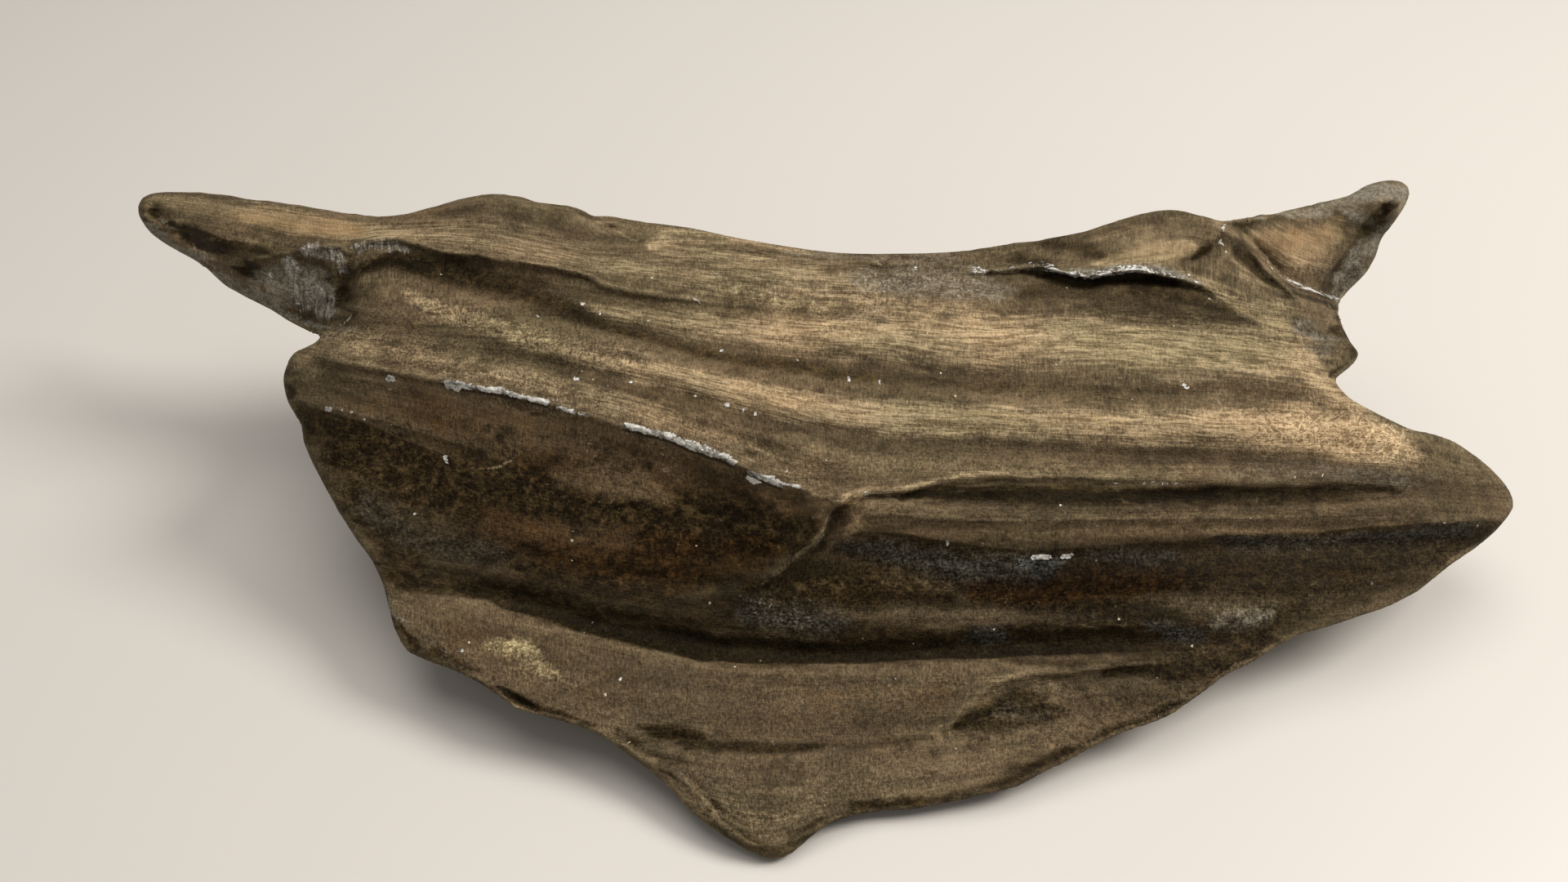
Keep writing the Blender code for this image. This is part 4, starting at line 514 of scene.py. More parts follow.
LIGHT = [
    # where the dark is thinned out
    (0.62, 0.1, [(680, 582, 14), (750, 590, 24), (815, 602, 18)]),
    (0.50, 0.1, [(600, 640, 16), (680, 652, 18), (770, 660, 16)]),
    (0.42, 0.1, [(470, 560, 18), (540, 552, 18)]),
    (0.45, 0.1, [(530, 690, 14), (620, 700, 14)]),
    (0.30, 0.1, [(850, 735, 14), (900, 718, 12)]),
    (0.36, 0.0, [(1090, 746, 14), (1150, 748, 18), (1230, 752, 12)]),
    (0.30, 0.1, [(1390, 738, 10), (1460, 738, 14), (1530, 736, 10)]),
    (0.50, 0.1, [(925, 606, 12), (950, 614, 14), (985, 622, 12)]),
    (0.50, 0.2, [(1646, 432, 8), (1656, 444, 6)]),
    (0.90, 0.2, [(1502, 286, 5), (1506, 294, 8), (1510, 304, 6)]),
]
GREY = [
    (0.85, 0.3, [(1316, 332, 4), (1340, 336, 5), (1362, 332, 5), (1390, 328, 6), (1415, 330, 5), (1440, 336, 5), (1468, 346, 4)]),
    (1.00, 0.4, [(178, 271, 5), (194, 286, 8), (215, 302, 9), (250, 327, 10), (290, 351, 11), (330, 370, 12), (368, 390, 8), (390, 402, 4)]),
    (0.85, 0.4, [(203, 262, 3), (206, 274, 4)]),
    (0.90, 0.1, [(312, 340, 10), (336, 336, 16), (352, 346, 22), (382, 350, 28), (404, 352, 15), (394, 378, 12)]),
    (0.62, 0.3, [(1630, 358, 10), (1640, 346, 14), (1662, 322, 18), (1684, 296, 14), (1698, 276, 8)]),
    (0.85, 0.3, [(1660, 240, 9), (1680, 236, 12), (1700, 232, 13), (1718, 234, 10)]),
    (0.60, 0.2, [(1648, 256, 9), (1668, 262, 11), (1686, 266, 8)]),
    (0.60, 0.2, [(1722, 240, 5), (1716, 258, 5), (1706, 274, 5)]),
    (0.60, 0.2, [(1530, 270, 5), (1586, 260, 8), (1640, 248, 9), (1660, 242, 8)]),
    (0.50, 0.1, [(1060, 342, 16), (1130, 346, 24), (1220, 352, 22)]),
    (0.50, 0.1, [(1596, 402, 16), (1622, 422, 18)]),
    (0.50, 0.2, [(482, 728, 7), (490, 760, 8)]),
    (0.12, 0.0, [(1300, 376, 20), (1400, 382, 24), (1480, 388, 16)]),
    (0.35, 0.1, [(960, 312, 8), (1060, 318, 10), (1180, 320, 10)]),
    (0.30, 0.0, [(1500, 576, 14), (1620, 580, 16), (1740, 592, 16)]),
    (0.42, 0.0, [(1490, 760, 16), (1530, 754, 22), (1560, 748, 14)]),
    (0.45, 0.0, [(400, 408, 6), (430, 402, 8)]),
]
QUIET = [
    (1.0, 0.4, [(190, 246, 14), (300, 264, 22), (430, 280, 20), (560, 284, 18)]),
    (1.0, 0.3, [(540, 264, 20), (640, 284, 36), (760, 312, 32), (900, 326, 28), (1050, 330, 20)]),
    (1.3, 0.4, [(1540, 296, 26), (1620, 290, 30), (1700, 240, 22)]),
    (1.2, 0.3, [(1640, 346, 14), (1662, 322, 18), (1684, 296, 14)]),
    (0.7, 0.3, [(1350, 290, 30), (1440, 290, 34)]),
    (0.6, 0.3, [(230, 320, 20), (330, 360, 30)]),
    (0.3, 0.2, [(1050, 410, 24), (1250, 416, 30), (1500, 430, 30)]),
]
GRAINY = [
    (0.9, 0.4, [(440, 560, 50), (600, 600, 80), (800, 640, 70), (940, 650, 30)]),
    (0.7, 0.4, [(600, 760, 16), (800, 786, 16), (1000, 796, 16), (1300, 790, 18)]),
    (1.0, 0.3, [(440, 400, 34), (540, 388, 34), (660, 410, 34), (760, 430, 28)]),
    (0.7, 0.2, [(420, 430, 20), (540, 450, 22), (680, 480, 20)]),
    (0.6, 0.2, [(500, 330, 20), (600, 346, 22), (700, 368, 20)]),
    (1.25, 0.3, [(1160, 900, 20), (1260, 880, 44), (1360, 870, 44), (1460, 830, 40), (1540, 790, 24)]),
    (0.7, 0.3, [(560, 790, 40), (680, 840, 44), (800, 870, 44), (950, 870, 50), (1100, 870, 50), (1180, 830, 30)]),
    (0.7, 0.3, [(860, 960, 44), (960, 980, 50), (1100, 950, 44)]),
    (0.5, 0.3, [(1050, 640, 20), (1219, 634, 20), (1410, 631, 20), (1600, 628, 20), (1780, 620, 26)]),
    (0.6, 0.3, [(600, 480, 16), (760, 530, 20), (950, 560, 30), (1100, 560, 30), (1300, 566, 20)]),
    (0.25, 0.3, [(1540, 520, 36), (1640, 530, 42), (1720, 550, 30)]),
    (1.0, 0.4, [(960, 740, 50), (1100, 720, 56), (1300, 720, 60), (1500, 720, 60), (1650, 700, 40), (1780, 670, 24)]),
    (0.7, 0.3, [(1080, 348, 30), (1200, 350, 30)]),
]
LIFT = [
    # a little brighter: paler stone in part, and painted light that thins the shade the relief throws in creases and
    # under arrises
    (0.90, 0.1, [(1120, 650, 7), (1160, 650, 10), (1220, 651, 13), (1290, 654, 12), (1350, 654, 10), (1420, 651, 8), (1500, 650, 7), (1600, 654, 8), (1650, 655, 8), (1690, 646, 7)]),
    (1.40, 0.1, [(1000, 612, 9), (1006, 626, 10), (1002, 642, 8)]),
    (1.50, 0.1, [(1030, 608, 8), (1054, 618, 13), (1062, 634, 12), (1056, 647, 7)]),
    (0.90, 0.1, [(1150, 594, 4), (1180, 592, 5), (1240, 592, 5), (1336, 592, 5), (1400, 592, 5), (1450, 590, 4)]),
    (0.90, 0.1, [(990, 716, 11), (1040, 722, 14), (1100, 718, 14), (1160, 716, 10)]),
    (0.70, 0.1, [(1200, 726, 8), (1236, 726, 8)]),
    (0.60, 0.1, [(1096, 694, 12), (1170, 692, 12), (1200, 706, 10)]),
    (0.90, 0.1, [(604, 320, 5), (640, 330, 8), (680, 338, 10), (716, 344, 8)]),
    (0.80, 0.1, [(836, 588, 11), (856, 596, 10)]),
    (1.00, 0.1, [(944, 606, 8), (956, 616, 9)]),
    (1.10, 0.1, [(222, 290, 4), (240, 301, 5), (252, 312, 5)]),
    (0.60, 0.1, [(280, 285, 8), (300, 292, 9), (318, 298, 8)]),
    (0.80, 0.1, [(1084, 978, 8), (1160, 974, 10)]),
    (0.42, 0.1, [(1350, 288, 12), (1390, 284, 12)]),
    (0.40, 0.1, [(985, 968, 18)]),
    (0.50, 0.1, [(858, 898, 8)]),
    (0.90, 0.1, [(1150, 894, 9), (1168, 896, 7)]),
    (0.20, 0.1, [(1214, 838, 7), (1240, 834, 8), (1262, 836, 6)]),
    (0.55, 0.2, [(330, 336, 22), (360, 350, 24), (390, 352, 20)]),
    (0.40, 0.2, [(800, 412, 10), (900, 436, 13), (1000, 452, 12), (1060, 458, 10)]),
    (0.36, 0.2, [(1180, 470, 12), (1340, 484, 14), (1500, 486, 14), (1600, 490, 10)]),
    (0.30, 0.2, [(1600, 528, 24), (1700, 545, 22)]),
    (0.45, 0.2, [(560, 440, 12), (680, 474, 14), (800, 506, 14), (900, 535, 14), (1000, 560, 16), (1100, 574, 17), (1250, 576, 15), (1400, 576, 12), (1550, 578, 10)]),
    (0.42, 0.2, [(740, 590, 20), (780, 598, 22), (820, 606, 16)]),
    (0.30, 0.2, [(950, 750, 18), (990, 755, 18)]),
    (0.72, 0.0, [(1050, 668, 14), (1150, 668, 20), (1240, 686, 18)]),
    (0.30, 0.1, [(1300, 716, 12), (1350, 716, 16), (1440, 712, 14)]),
    (0.55, 0.1, [(1150, 604, 7), (1250, 603, 9), (1400, 604, 9)]),
    (0.20, 0.1, [(1300, 370, 14), (1400, 376, 18), (1480, 386, 12)]),
    (0.45, 0.0, [(1190, 872, 12), (1240, 862, 18), (1290, 866, 16)]),
    (0.22, 0.0, [(900, 796, 12), (1000, 800, 12), (1200, 796, 12)]),
    (0.25, 0.2, [(1080, 960, 24), (1150, 950, 24), (1220, 930, 20)]),
    (0.55, 0.0, [(720, 352, 8), (760, 362, 9), (860, 378, 10), (960, 390, 9), (1020, 396, 6)]),
    (0.35, 0.2, [(800, 296, 8), (900, 305, 10), (1000, 315, 8)]),
]
SINK = [
    # a little darker
    (0.50, 0.1, [(1480, 581, 6), (1530, 581, 8), (1570, 582, 7)]),
    (0.50, 0.1, [(1620, 726, 12), (1680, 724, 16), (1722, 714, 14)]),
    (0.34, 0.1, [(1500, 488, 9), (1580, 488, 9)]),
    (0.30, 0.1, [(1660, 558, 9), (1710, 562, 9)]),
    (0.42, 0.1, [(388, 584, 9), (400, 616, 10), (410, 650, 10)]),
    (0.34, 0.1, [(540, 786, 16), (616, 770, 20)]),
    (0.26, 0.1, [(890, 404, 10), (930, 406, 10)]),
    (0.66, 0.1, [(800, 918, 8), (820, 930, 13), (836, 946, 9)]),
    (0.46, 0.1, [(1010, 920, 9), (1040, 919, 9)]),
    (0.36, 0.1, [(886, 976, 13)]),
    (0.26, 0.1, [(880, 856, 20), (930, 862, 24)]),
    (0.26, 0.1, [(620, 766, 14), (680, 812, 16)]),
    (0.45, 0.2, [(540, 262, 14), (600, 268, 22), (660, 284, 18), (720, 300, 14)]),
    (0.30, 0.2, [(500, 366, 10), (560, 382, 12), (620, 400, 12)]),
    (0.55, 0.2, [(480, 690, 16), (560, 700, 18), (660, 722, 18), (760, 738, 18), (860, 748, 18), (930, 735, 16)]),
    (0.32, 0.2, [(1640, 622, 12), (1760, 622, 14)]),
    (0.46, 0.1, [(1180, 619, 7), (1290, 621, 9), (1410, 621, 10), (1520, 620, 9), (1600, 618, 7)]),
    (0.56, 0.2, [(1280, 700, 24), (1330, 694, 28), (1450, 698, 28), (1600, 700, 26), (1740, 680, 22)]),
    (0.60, 0.2, [(1110, 748, 14), (1250, 752, 14), (1400, 750, 16), (1480, 745, 14)]),
    (0.40, 0.2, [(1300, 830, 20), (1400, 840, 26), (1480, 815, 20)]),
    (0.50, 0.2, [(1640, 690, 20), (1760, 668, 16), (1820, 652, 12)]),
    (0.25, 0.2, [(1560, 292, 18), (1620, 284, 16)]),
    (0.55, 0.2, [(1028, 622, 5), (1014, 640, 6), (1004, 662, 7), (990, 680, 8), (966, 697, 9)]),
    (0.20, 0.2, [(1060, 344, 16), (1150, 346, 20), (1240, 352, 14)]),
]

# ---------------------------------------------------------------- edges that carry broken white silica and pale lines, and lines with painted shade beside them: u, v, share
LINES = {
    "ridge": [(352, 433, 0), (398, 439, .15), (471, 454, .3), (529, 466, .5), (545, 469, .9), (562, 472, 1), (582, 476, .8), (596, 478, .95), (620, 483, 1), (640, 488, .75), (656, 491, .95), (676, 497, .7), (692, 501, .45), (706, 505, .5), (722, 510, .35), (755, 519, .4),
              (775, 524, 1), (815, 536, 1), (854, 551, 1), (893, 565, 1), (906, 572, .3), (916, 578, .9), (936, 587, 1), (955, 593, .8), (970, 597, .35), (1004, 609, .35), (1023, 616, .5), (1033, 617, 0)],
    "ledge": [(1175, 337, .1), (1200, 335, .3), (1240, 328, .6), (1262, 329, .8), (1285, 333, .9), (1315, 339, 1), (1336, 342, 1), (1360, 338, 1), (1390, 334, .95), (1412, 337, .8), (1436, 342, .55),
              (1465, 351, .3), (1490, 364, .15), (1515, 380, 0)],
    "arris": [(462, 300, .4), (479, 296, .6), (548, 310, .35), (589, 318, .35), (650, 328, .15), (711, 341, .2), (741, 352, .5), (802, 363, .7), (843, 367, .8), (875, 373, .7), (950, 381, .4), (1030, 390, 0)],
    "step": [(1030, 617, .6), (1062, 605, 1), (1110, 601, .8), (1155, 589, .9), (1206, 584, .6), (1231, 585, .4), (1300, 588, 0)],
    "peak": [(1492, 268, .2), (1499, 276, .5), (1521, 288, .4), (1542, 311, .5), (1562, 335, .5), (1586, 349, .6), (1611, 356, .7), (1631, 364, .6), (1646, 372, .2)],
    "hollow": [(1606, 362, .4), (1618, 346, .9), (1632, 328, 1), (1648, 306, .9), (1664, 288, .6), (1680, 272, .3), (1694, 258, 0)],
    "fband": [(346, 486, .3), (372, 494, .8), (400, 503, .9), (450, 519, 1), (505, 539, 1), (550, 558, 1), (588, 573, .8), (640, 586, .3), (690, 600, 0)],
    "crown": [(668, 248, 0), (684, 252, .6), (704, 258, 1), (727, 269, 1), (750, 281, 1), (768, 290, .8), (780, 296, 0)],
    "fleck": [(598, 572, .6), (610, 570, 1), (624, 562, .7)],
    "foot": [(560, 716, 0), (611, 742, .8), (679, 764, 1), (752, 784, 1), (825, 803, 1), (873, 811, 1), (925, 814, 1), (970, 812, 1), (1091, 811, 1), (1283, 803, 1), (1410, 800, .9), (1506, 798, .7), (1560, 790, 0)],
    "brink": [(1010, 664, 0), (1040, 654, .5), (1076, 652, .9), (1130, 658, 1), (1190, 667, 1), (1230, 672, 1), (1268, 674, .95), (1310, 672, .85), (1360, 668, .7), (1410, 663, .65), (1500, 656, .65), (1560, 652, .7),
              (1640, 648, .9), (1700, 643, 1), (1793, 638, 1), (1846, 638, .6)],
}

# ---------------------------------------------------------------- small noise kit
def _hash(ix, iy, iz, seed):
    h = ix.astype(np.uint32) * np.uint32(374761393)
    h = h + iy.astype(np.uint32) * np.uint32(668265263)
    h = h + iz.astype(np.uint32) * np.uint32(2246822519)
    h = h + np.uint32((seed * 3266489917) % 4294967296)
    h = (h ^ (h >> np.uint32(13))) * np.uint32(1274126177)
    h = (h ^ (h >> np.uint32(16))) * np.uint32(2654435761)
    return (h ^ (h >> np.uint32(15))).astype(np.float64) / 4294967295.0


def noise(x, y, z, seed=0):
    """smooth value noise, -1 to 1"""
    x, y, z = np.broadcast_arrays(np.asarray(x, float), np.asarray(y, float), np.asarray(z, float))
    ix, iy, iz = (np.floor(t).astype(np.int64) for t in (x, y, z))
    fx, fy, fz = (t * t * t * (t * (t * 6 - 15) + 10) for t in (x - ix, y - iy, z - iz))
    out = np.zeros(len(x))
    for dx, wx in ((0, 1 - fx), (1, fx)):
        for dy, wy in ((0, 1 - fy), (1, fy)):
            for dz, wz in ((0, 1 - fz), (1, fz)):
                out += wx * wy * wz * _hash(ix + dx, iy + dy, iz + dz, seed)
    return out * 2 - 1


# ---------------------------------------------------------------- curves on the sheet
def open_curve(points, step):
    """smooth curve through the points; the columns after u and v ride along"""
    p = np.array(points, float)
    if len(p) == 1:
        q = p.copy()
        q[0, 0] += 0.5
        p = np.vstack([p, q])
    ends = np.vstack([2 * p[0] - p[1], p, 2 * p[-1] - p[-2]])
    out = []
    for a, b, c, d in zip(ends[:-3], ends[1:-2], ends[2:-1], ends[3:]):
        n = max(2, int(math.hypot(*(c - b)[:2]) / step) + 1)
        t = np.linspace(0, 1, n, endpoint=False)[:, None]
        out.append(0.5 * (2 * b + (c - a) * t + (2 * a - 5 * b + 4 * c - d) * t**2 + (3 * b - a - 3 * c + d) * t**3))
    return np.vstack(out + [p[-1:]])


def closed_curve(points, step):
    """closed curve through the points, tight enough to keep the chipped corners"""
    p = np.array(points, float)
    out = []
    for i in range(len(p)):
        a, b, c, d = p[i - 1], p[i], p[(i + 1) % len(p)], p[(i + 2) % len(p)]
        h = math.hypot(*(c - b)[:2])
        t = np.linspace(0, 1, max(2, int(h / step) + 1), endpoint=False)[:, None]
        m1, m2 = (c - a) * 0.42, (d - b) * 0.42
        m1 *= min(1.0, h / math.hypot(*m1[:2]))
        m2 *= min(1.0, h / math.hypot(*m2[:2]))
        out.append((2 * t**3 - 3 * t**2 + 1) * b + (t**3 - 2 * t**2 + t) * m1 + (3 * t**2 - 2 * t**3) * c + (t**3 - t**2) * m2)
    return np.vstack(out)


def to_curve(u, v, curve, closed=False):
    """distance to the curve, which side, and how far along"""
    a = curve[:, :2] if closed else curve[:-1, :2]
    b = np.roll(curve[:, :2], -1, 0) if closed else curve[1:, :2]
    ab = b - a
    l2 = np.maximum((ab**2).sum(1), 1e-9)
    best, side, at = np.empty(len(u)), np.empty(len(u)), np.empty(len(u))
    chunk = max(1, 1500000 // len(a))
    for i in range(0, len(u), chunk):
        ap = np.stack([u[i:i + chunk], v[i:i + chunk]], -1)[:, None] - a[None]
        t = np.clip((ap * ab).sum(2) / l2, 0, 1)
        d2 = ((ap - t[..., None] * ab) ** 2).sum(2)
        j = d2.argmin(1)
        r = np.arange(len(j))
        best[i:i + chunk] = d2[r, j]
        side[i:i + chunk] = np.sign(ab[j, 0] * ap[r, j, 1] - ab[j, 1] * ap[r, j, 0])
        at[i:i + chunk] = j + t[r, j]
    return np.sqrt(best), side, at


def inside(u, v, poly):
    hit = np.zeros(len(u), bool)
    for (x0, y0), (x1, y1) in zip(poly[:, :2], np.roll(poly[:, :2], -1, 0)):
        if y0 != y1:
            hit ^= ((y0 > v) != (y1 > v)) & (u < x0 + (v - y0) * (x1 - x0) / (y1 - y0))
    return hit


def ease(x):
    x = np.clip(x, 0, 1)
    return x * x * (3 - 2 * x)


# ---------------------------------------------------------------- surfaces over the sheet
def plate(points, values, slack=1e-3):
    """thin elastic plate through the values at the points"""
    p = np.array(points, float) / 300.0
    n = len(p)

    def kernel(r2):
        return 0.5 * r2 * np.log(np.maximum(r2, 1e-12))

    k = kernel(((p[:, None] - p[None]) ** 2).sum(2)) + np.eye(n) * slack
    q = np.hstack([np.ones((n, 1)), p])
    w = np.linalg.solve(np.block([[k, q], [q.T, np.zeros((3, 3))]]), np.concatenate([values, np.zeros(3)]))

    def surface(u, v):
        x = np.stack([u, v], -1) / 300.0
        out = np.empty(len(x))
        for i in range(0, len(x), 8000):
            y = x[i:i + 8000]
            out[i:i + 8000] = kernel(((y[:, None] - p[None]) ** 2).sum(2)) @ w[:n] + w[n] + y @ w[n + 1:]
        return out

    return surface


def slope_of_sight(v):
    return SIN - (SHEET_MIDDLE[1] - v) / FOCUS * COS


def place(u, v, s):
    """sheet point at distance s (mm, along the sheet's axis) as a point in metres"""
    x = s * (u - SHEET_MIDDLE[0]) / FOCUS
    y = s * (COS + (SHEET_MIDDLE[1] - v) / FOCUS * SIN)
    z = EYE - s * slope_of_sight(v)
    return np.stack([x / 1000 + VIEW[0], y / 1000 + VIEW[1], z / 1000], -1)


def unplace(p):
    """u, v, s of points in metres"""
    x, y, z = ((p[:, i] - VIEW[i]) * 1000 for i in range(3))
    s = y * COS - z * SIN
    return SHEET_MIDDLE[0] + FOCUS * x / s, SHEET_MIDDLE[1] - FOCUS * (y * SIN + z * COS) / s, s


def relief(u, v):
    """mm that the grain relief stands out of the smooth form"""
    out = np.zeros(len(u))
    for name, up, up_width, low, low_width, soft, sharp, points in RELIEF:
        curve = open_curve(points, 5.0)
        reach = max(up_width, low_width) + 4
        near = (u > curve[:, 0].min() - reach) & (u < curve[:, 0].max() + reach)
        near &= (v > curve[:, 1].min() - reach) & (v < curve[:, 1].max() + reach)
        if not near.any():
            continue
        d, side, at = to_curve(u[near], v[near], curve)
        share = np.interp(at, np.arange(len(curve)), curve[:, 2])
        d = d * np.where(side == 0, 1, side)
        below = ease((d + soft) / (2 * soft))

        def fall(width):
            x = np.clip(np.abs(d) / width, 0, 1)
            return (1 - x) ** 2 if sharp else np.cos(x * math.pi / 2) ** 2

        out[near] += share * ((1 - below) * up * fall(up_width) + below * low * fall(low_width))
    return out


contour = closed_curve(OUTLINE, 4.0)
form = np.array(FORM, float)
body = np.array(BODY, float)
form_depth = (EYE - form[:, 2]) / slope_of_sight(form[:, 1]) + 1.35 * relief(form[:, 0], form[:, 1])
front_plate = plate(form[:, :2], 1.0 / form_depth)
body_plate = plate(body[:, :2], np.sqrt(body[:, 2]))

_gu, _gv, _gg = [], [], []
for _label, _points in GRAIN:
    _c = open_curve(_points, 45.0)
    _gu += list(_c[:, 0])
    _gv += list(_c[:, 1])
    _gg += [float(_label)] * len(_c)
grain_plate = plate(np.stack([_gu, _gv], 1), np.array(_gg), slack=2e-2)


def edge(u, v):
    d, side, at = to_curve(u, v, contour, closed=True)
    radius = np.interp(at, np.arange(len(contour) + 1), np.append(contour[:, 2], contour[0, 2]))
    return np.where(inside(u, v, contour), d, -d), radius


def wander(u, v, d):
    """small wobble that keeps the drawn lines from looking ruled"""
    k = ease(d / 9.0)
    du = 2.2 * noise(u / 34, v / 26, 0, 5)
    dv = 1.8 * noise(u / 34, v / 30, 0, 6) + 0.8 * noise(u / 12, v / 12, 0, 7)
    return u + du * k, v + dv * k


def front(u, v, d, radius):
    base = 1.0 / front_plate(u, v)
    x = 1 - np.clip(d / radius, 0, 1)
    rounding = 1.15 * radius * base / FOCUS * (1 - np.sqrt(np.maximum(1 - x * x, 0)))
    uw, vw = wander(u, v, d)
    return base - 1.35 * relief(uw, vw) * ease(d / 9.0) + rounding


def back(u, v, s, d):
    x = 1 - np.clip(d / EDGE_WIDTH, 0, 1)
    deep = s + np.maximum(body_plate(u, v) ** 2, 3) * np.sqrt(np.maximum(1 - x * x, 0))
    return np.minimum(deep, (EYE + BELLY_DEPTH * 1000) / slope_of_sight(v))


def skin(grid):
    """vertices and faces of the closed form, seen side and hidden side meeting at the contour"""
    rim = closed_curve(OUTLINE, grid)[:, :2]
    along = np.roll(rim, -1, 0) - np.roll(rim, 1, 0)
    along /= np.linalg.norm(along, axis=1)[:, None]
    inward = np.stack([-along[:, 1], along[:, 0]], 1)
    beside = []
    last = 0.0
    for off in (1.2, 3.2, 6.2, 10.0):
        q = rim + inward * off
        d, _ = edge(q[:, 0], q[:, 1])
        beside.append(q[np.abs(d - off) < 0.25 * off])
        last = off
    low, high = rim.min(0), rim.max(0)
    rows = int((high[1] - low[1]) / (grid * 0.866))
    field = np.vstack([
        np.stack([u, np.full(len(u), low[1] + i * grid * 0.866)], 1)
        for i in range(rows)
        for u in [np.arange(low[0] + (grid / 2 if i % 2 else 0), high[0], grid)]
    ])
    d, _ = edge(field[:, 0], field[:, 1])
    points = np.vstack([rim] + beside + [field[d > last + grid * 0.55]])
    n = len(rim)
    found = mathutils.geometry.delaunay_2d_cdt(
        [mathutils.Vector(p) for p in points.tolist()], [(i, (i + 1) % n) for i in range(n)], [], 1, 1e-4)
    sheet = np.array([tuple(p) for p in found[0]])
    on_rim = np.array([any(k < n for k in o) for o in found[3]])
    tris = np.array([tuple(f) for f in found[2]])
    u, v = sheet[:, 0], sheet[:, 1]
    d, radius = edge(u, v)
    d = np.where(on_rim, 0, np.maximum(d, 0.3))
    s = front(u, v, d, radius)
    deep = np.maximum(back(u, v, s, d), s + np.where(on_rim, 0, 0.5))
    a, b, c = sheet[tris[:, 0]], sheet[tris[:, 1]], sheet[tris[:, 2]]
    turned = (b[:, 0] - a[:, 0]) * (c[:, 1] - a[:, 1]) - (b[:, 1] - a[:, 1]) * (c[:, 0] - a[:, 0]) > 0
    tris[turned] = tris[turned][:, ::-1]
    behind = np.where(on_rim, np.arange(len(sheet)), -1)
    behind[~on_rim] = len(sheet) + np.arange((~on_rim).sum())
    under = behind[tris[:, ::-1]]
    open_ = ~on_rim[tris].all(1)
    verts = np.vstack([place(u, v, s), place(u, v, deep)[~on_rim]])
    return verts, np.vstack([tris[open_], under[open_]])


# ---------------------------------------------------------------- dabs and lines laid on the sheet
def dabbed(dabs, u, v):
    """largest of the dabs at each point; a dab is strength, hardness and points of u, v, radius"""
    out = np.zeros(len(u))
    for strength, hard, points in dabs:
        curve = open_curve(points, 8.0)
        reach = np.array(points)[:, 2].max() * 1.6
        near = (u > curve[:, 0].min() - reach) & (u < curve[:, 0].max() + reach)
        near &= (v > curve[:, 1].min() - reach) & (v < curve[:, 1].max() + reach)
        if not near.any():
            continue
        d, _, at = to_curve(u[near], v[near], curve)
        x = d / np.maximum(np.interp(at, np.arange(len(curve)), curve[:, 2]), 0.5)
        out[near] = np.maximum(out[near], strength * (1 - ease((x - hard) / (1.5 - hard))))
    return out


def lined(points, u, v):
    """signed distance from the line (+ below it) and its strength alongside"""
    curve = open_curve(points, 5.0)
    far = np.full(len(u), 200.0)
    share = np.zeros(len(u))
    near = (u > curve[:, 0].min() - 100) & (u < curve[:, 0].max() + 100)
    near &= (v > curve[:, 1].min() - 100) & (v < curve[:, 1].max() + 100)
    d, side, at = to_curve(u[near], v[near], curve)
    far[near] = d * np.where(side == 0, 1, side)
    share[near] = np.interp(at, np.arange(len(curve)), curve[:, 2]) * (1 - ease((d - 80) / 18))
    return far, share


# ---------------------------------------------------------------- mesh helpers
def read(mesh, what):
    out = np.empty(len(mesh.vertices) * 3)
    mesh.vertices.foreach_get(what, out)
    return out.reshape(-1, 3)


def write(mesh, points):
    mesh.vertices.foreach_set("co", points.astype(np.float32).ravel())
    mesh.update()


def evaluated_copy(obj):
    depsgraph = bpy.context.evaluated_depsgraph_get()
    return bpy.data.meshes.new_from_object(obj.evaluated_get(depsgraph))


def link(obj):
    bpy.context.scene.collection.objects.link(obj)
    return obj


def drawn(p):
    """sheet coordinates of points, how far behind the drawn surface they lie, and the body's depth there"""
    u, v, s = unplace(p)
    d, radius = edge(u, v)
    d = np.maximum(np.abs(d), 0.3)
    sf = front(u, v, d, radius)
    sb = np.maximum(back(u, v, sf, d), sf + 0.5)
    return u, v, s, d, sf, sb


def grain_of(u, v):
    g = grain_plate(u, v)
    return g + 4.0 * noise(u / 150, g / 60, 0, 61) + 1.6 * noise(u / 60, g / 24, 0, 62)


def toward_view(p):
    q = np.array(VIEW) - p
    return q / np.linalg.norm(q, axis=1)[:, None]


def fine_form(p, n, u, v, w, g, room):
    """mm of fine form: flutes along the grain, lumps, splinters and pits"""
    behind = ease((w - 1.5) / 6.0)
    seen = 1 - behind
    calm = 1 - 0.7 * dabbed(CALM, u, v) * seen
    grit = dabbed(GRIT, u, v) * seen
    x, y, z = (p[:, i] * 1000 for i in range(3))
    flutes = 0.22 * noise(u / 190, g / 15, w / 5, 21) + 0.13 * noise(u / 90, g / 7.5, w / 3, 22)
    lumps = 0.30 * noise(x / 15, y / 15, z / 15, 33) + 0.14 * noise(x / 6, y / 6, z / 6, 34)
    pits = 0.06 * noise(x / 2.4, y / 2.4, z / 2.4, 31) + 0.05 * noise(x / 1.2, y / 1.2, z / 1.2, 32)
    rough = -0.45 * np.maximum(noise(x / 4.2, y / 3.2, z / 3.2, 35) - 0.15, 0) - 0.30 * np.maximum(noise(x / 1.9, y / 1.7, z / 1.7, 36), 0)
    out = flutes * calm * (1 + 0.8 * behind) + lumps * (0.55 + 1.3 * behind) + pits * (1 + 0.6 * behind) + grit * rough
    # the hidden side: long splinters and hollows, as wood split along the grain
    q = g + 0.9 * w * 6
    deep = 1.1 * noise(u / 330, q / 70, w / 14, 41) + 0.7 * noise(u / 230, q / 30, w / 9, 42)
    step = np.abs(noise(u / 260, q / 44, w / 12, 43))
    deep = deep - 1.0 * np.exp(-((step / 0.12) ** 2))
    out = out + behind * deep
    belly = ease((z - 0.4) / 2.5)
    return out * ease(room / 5.0) * belly


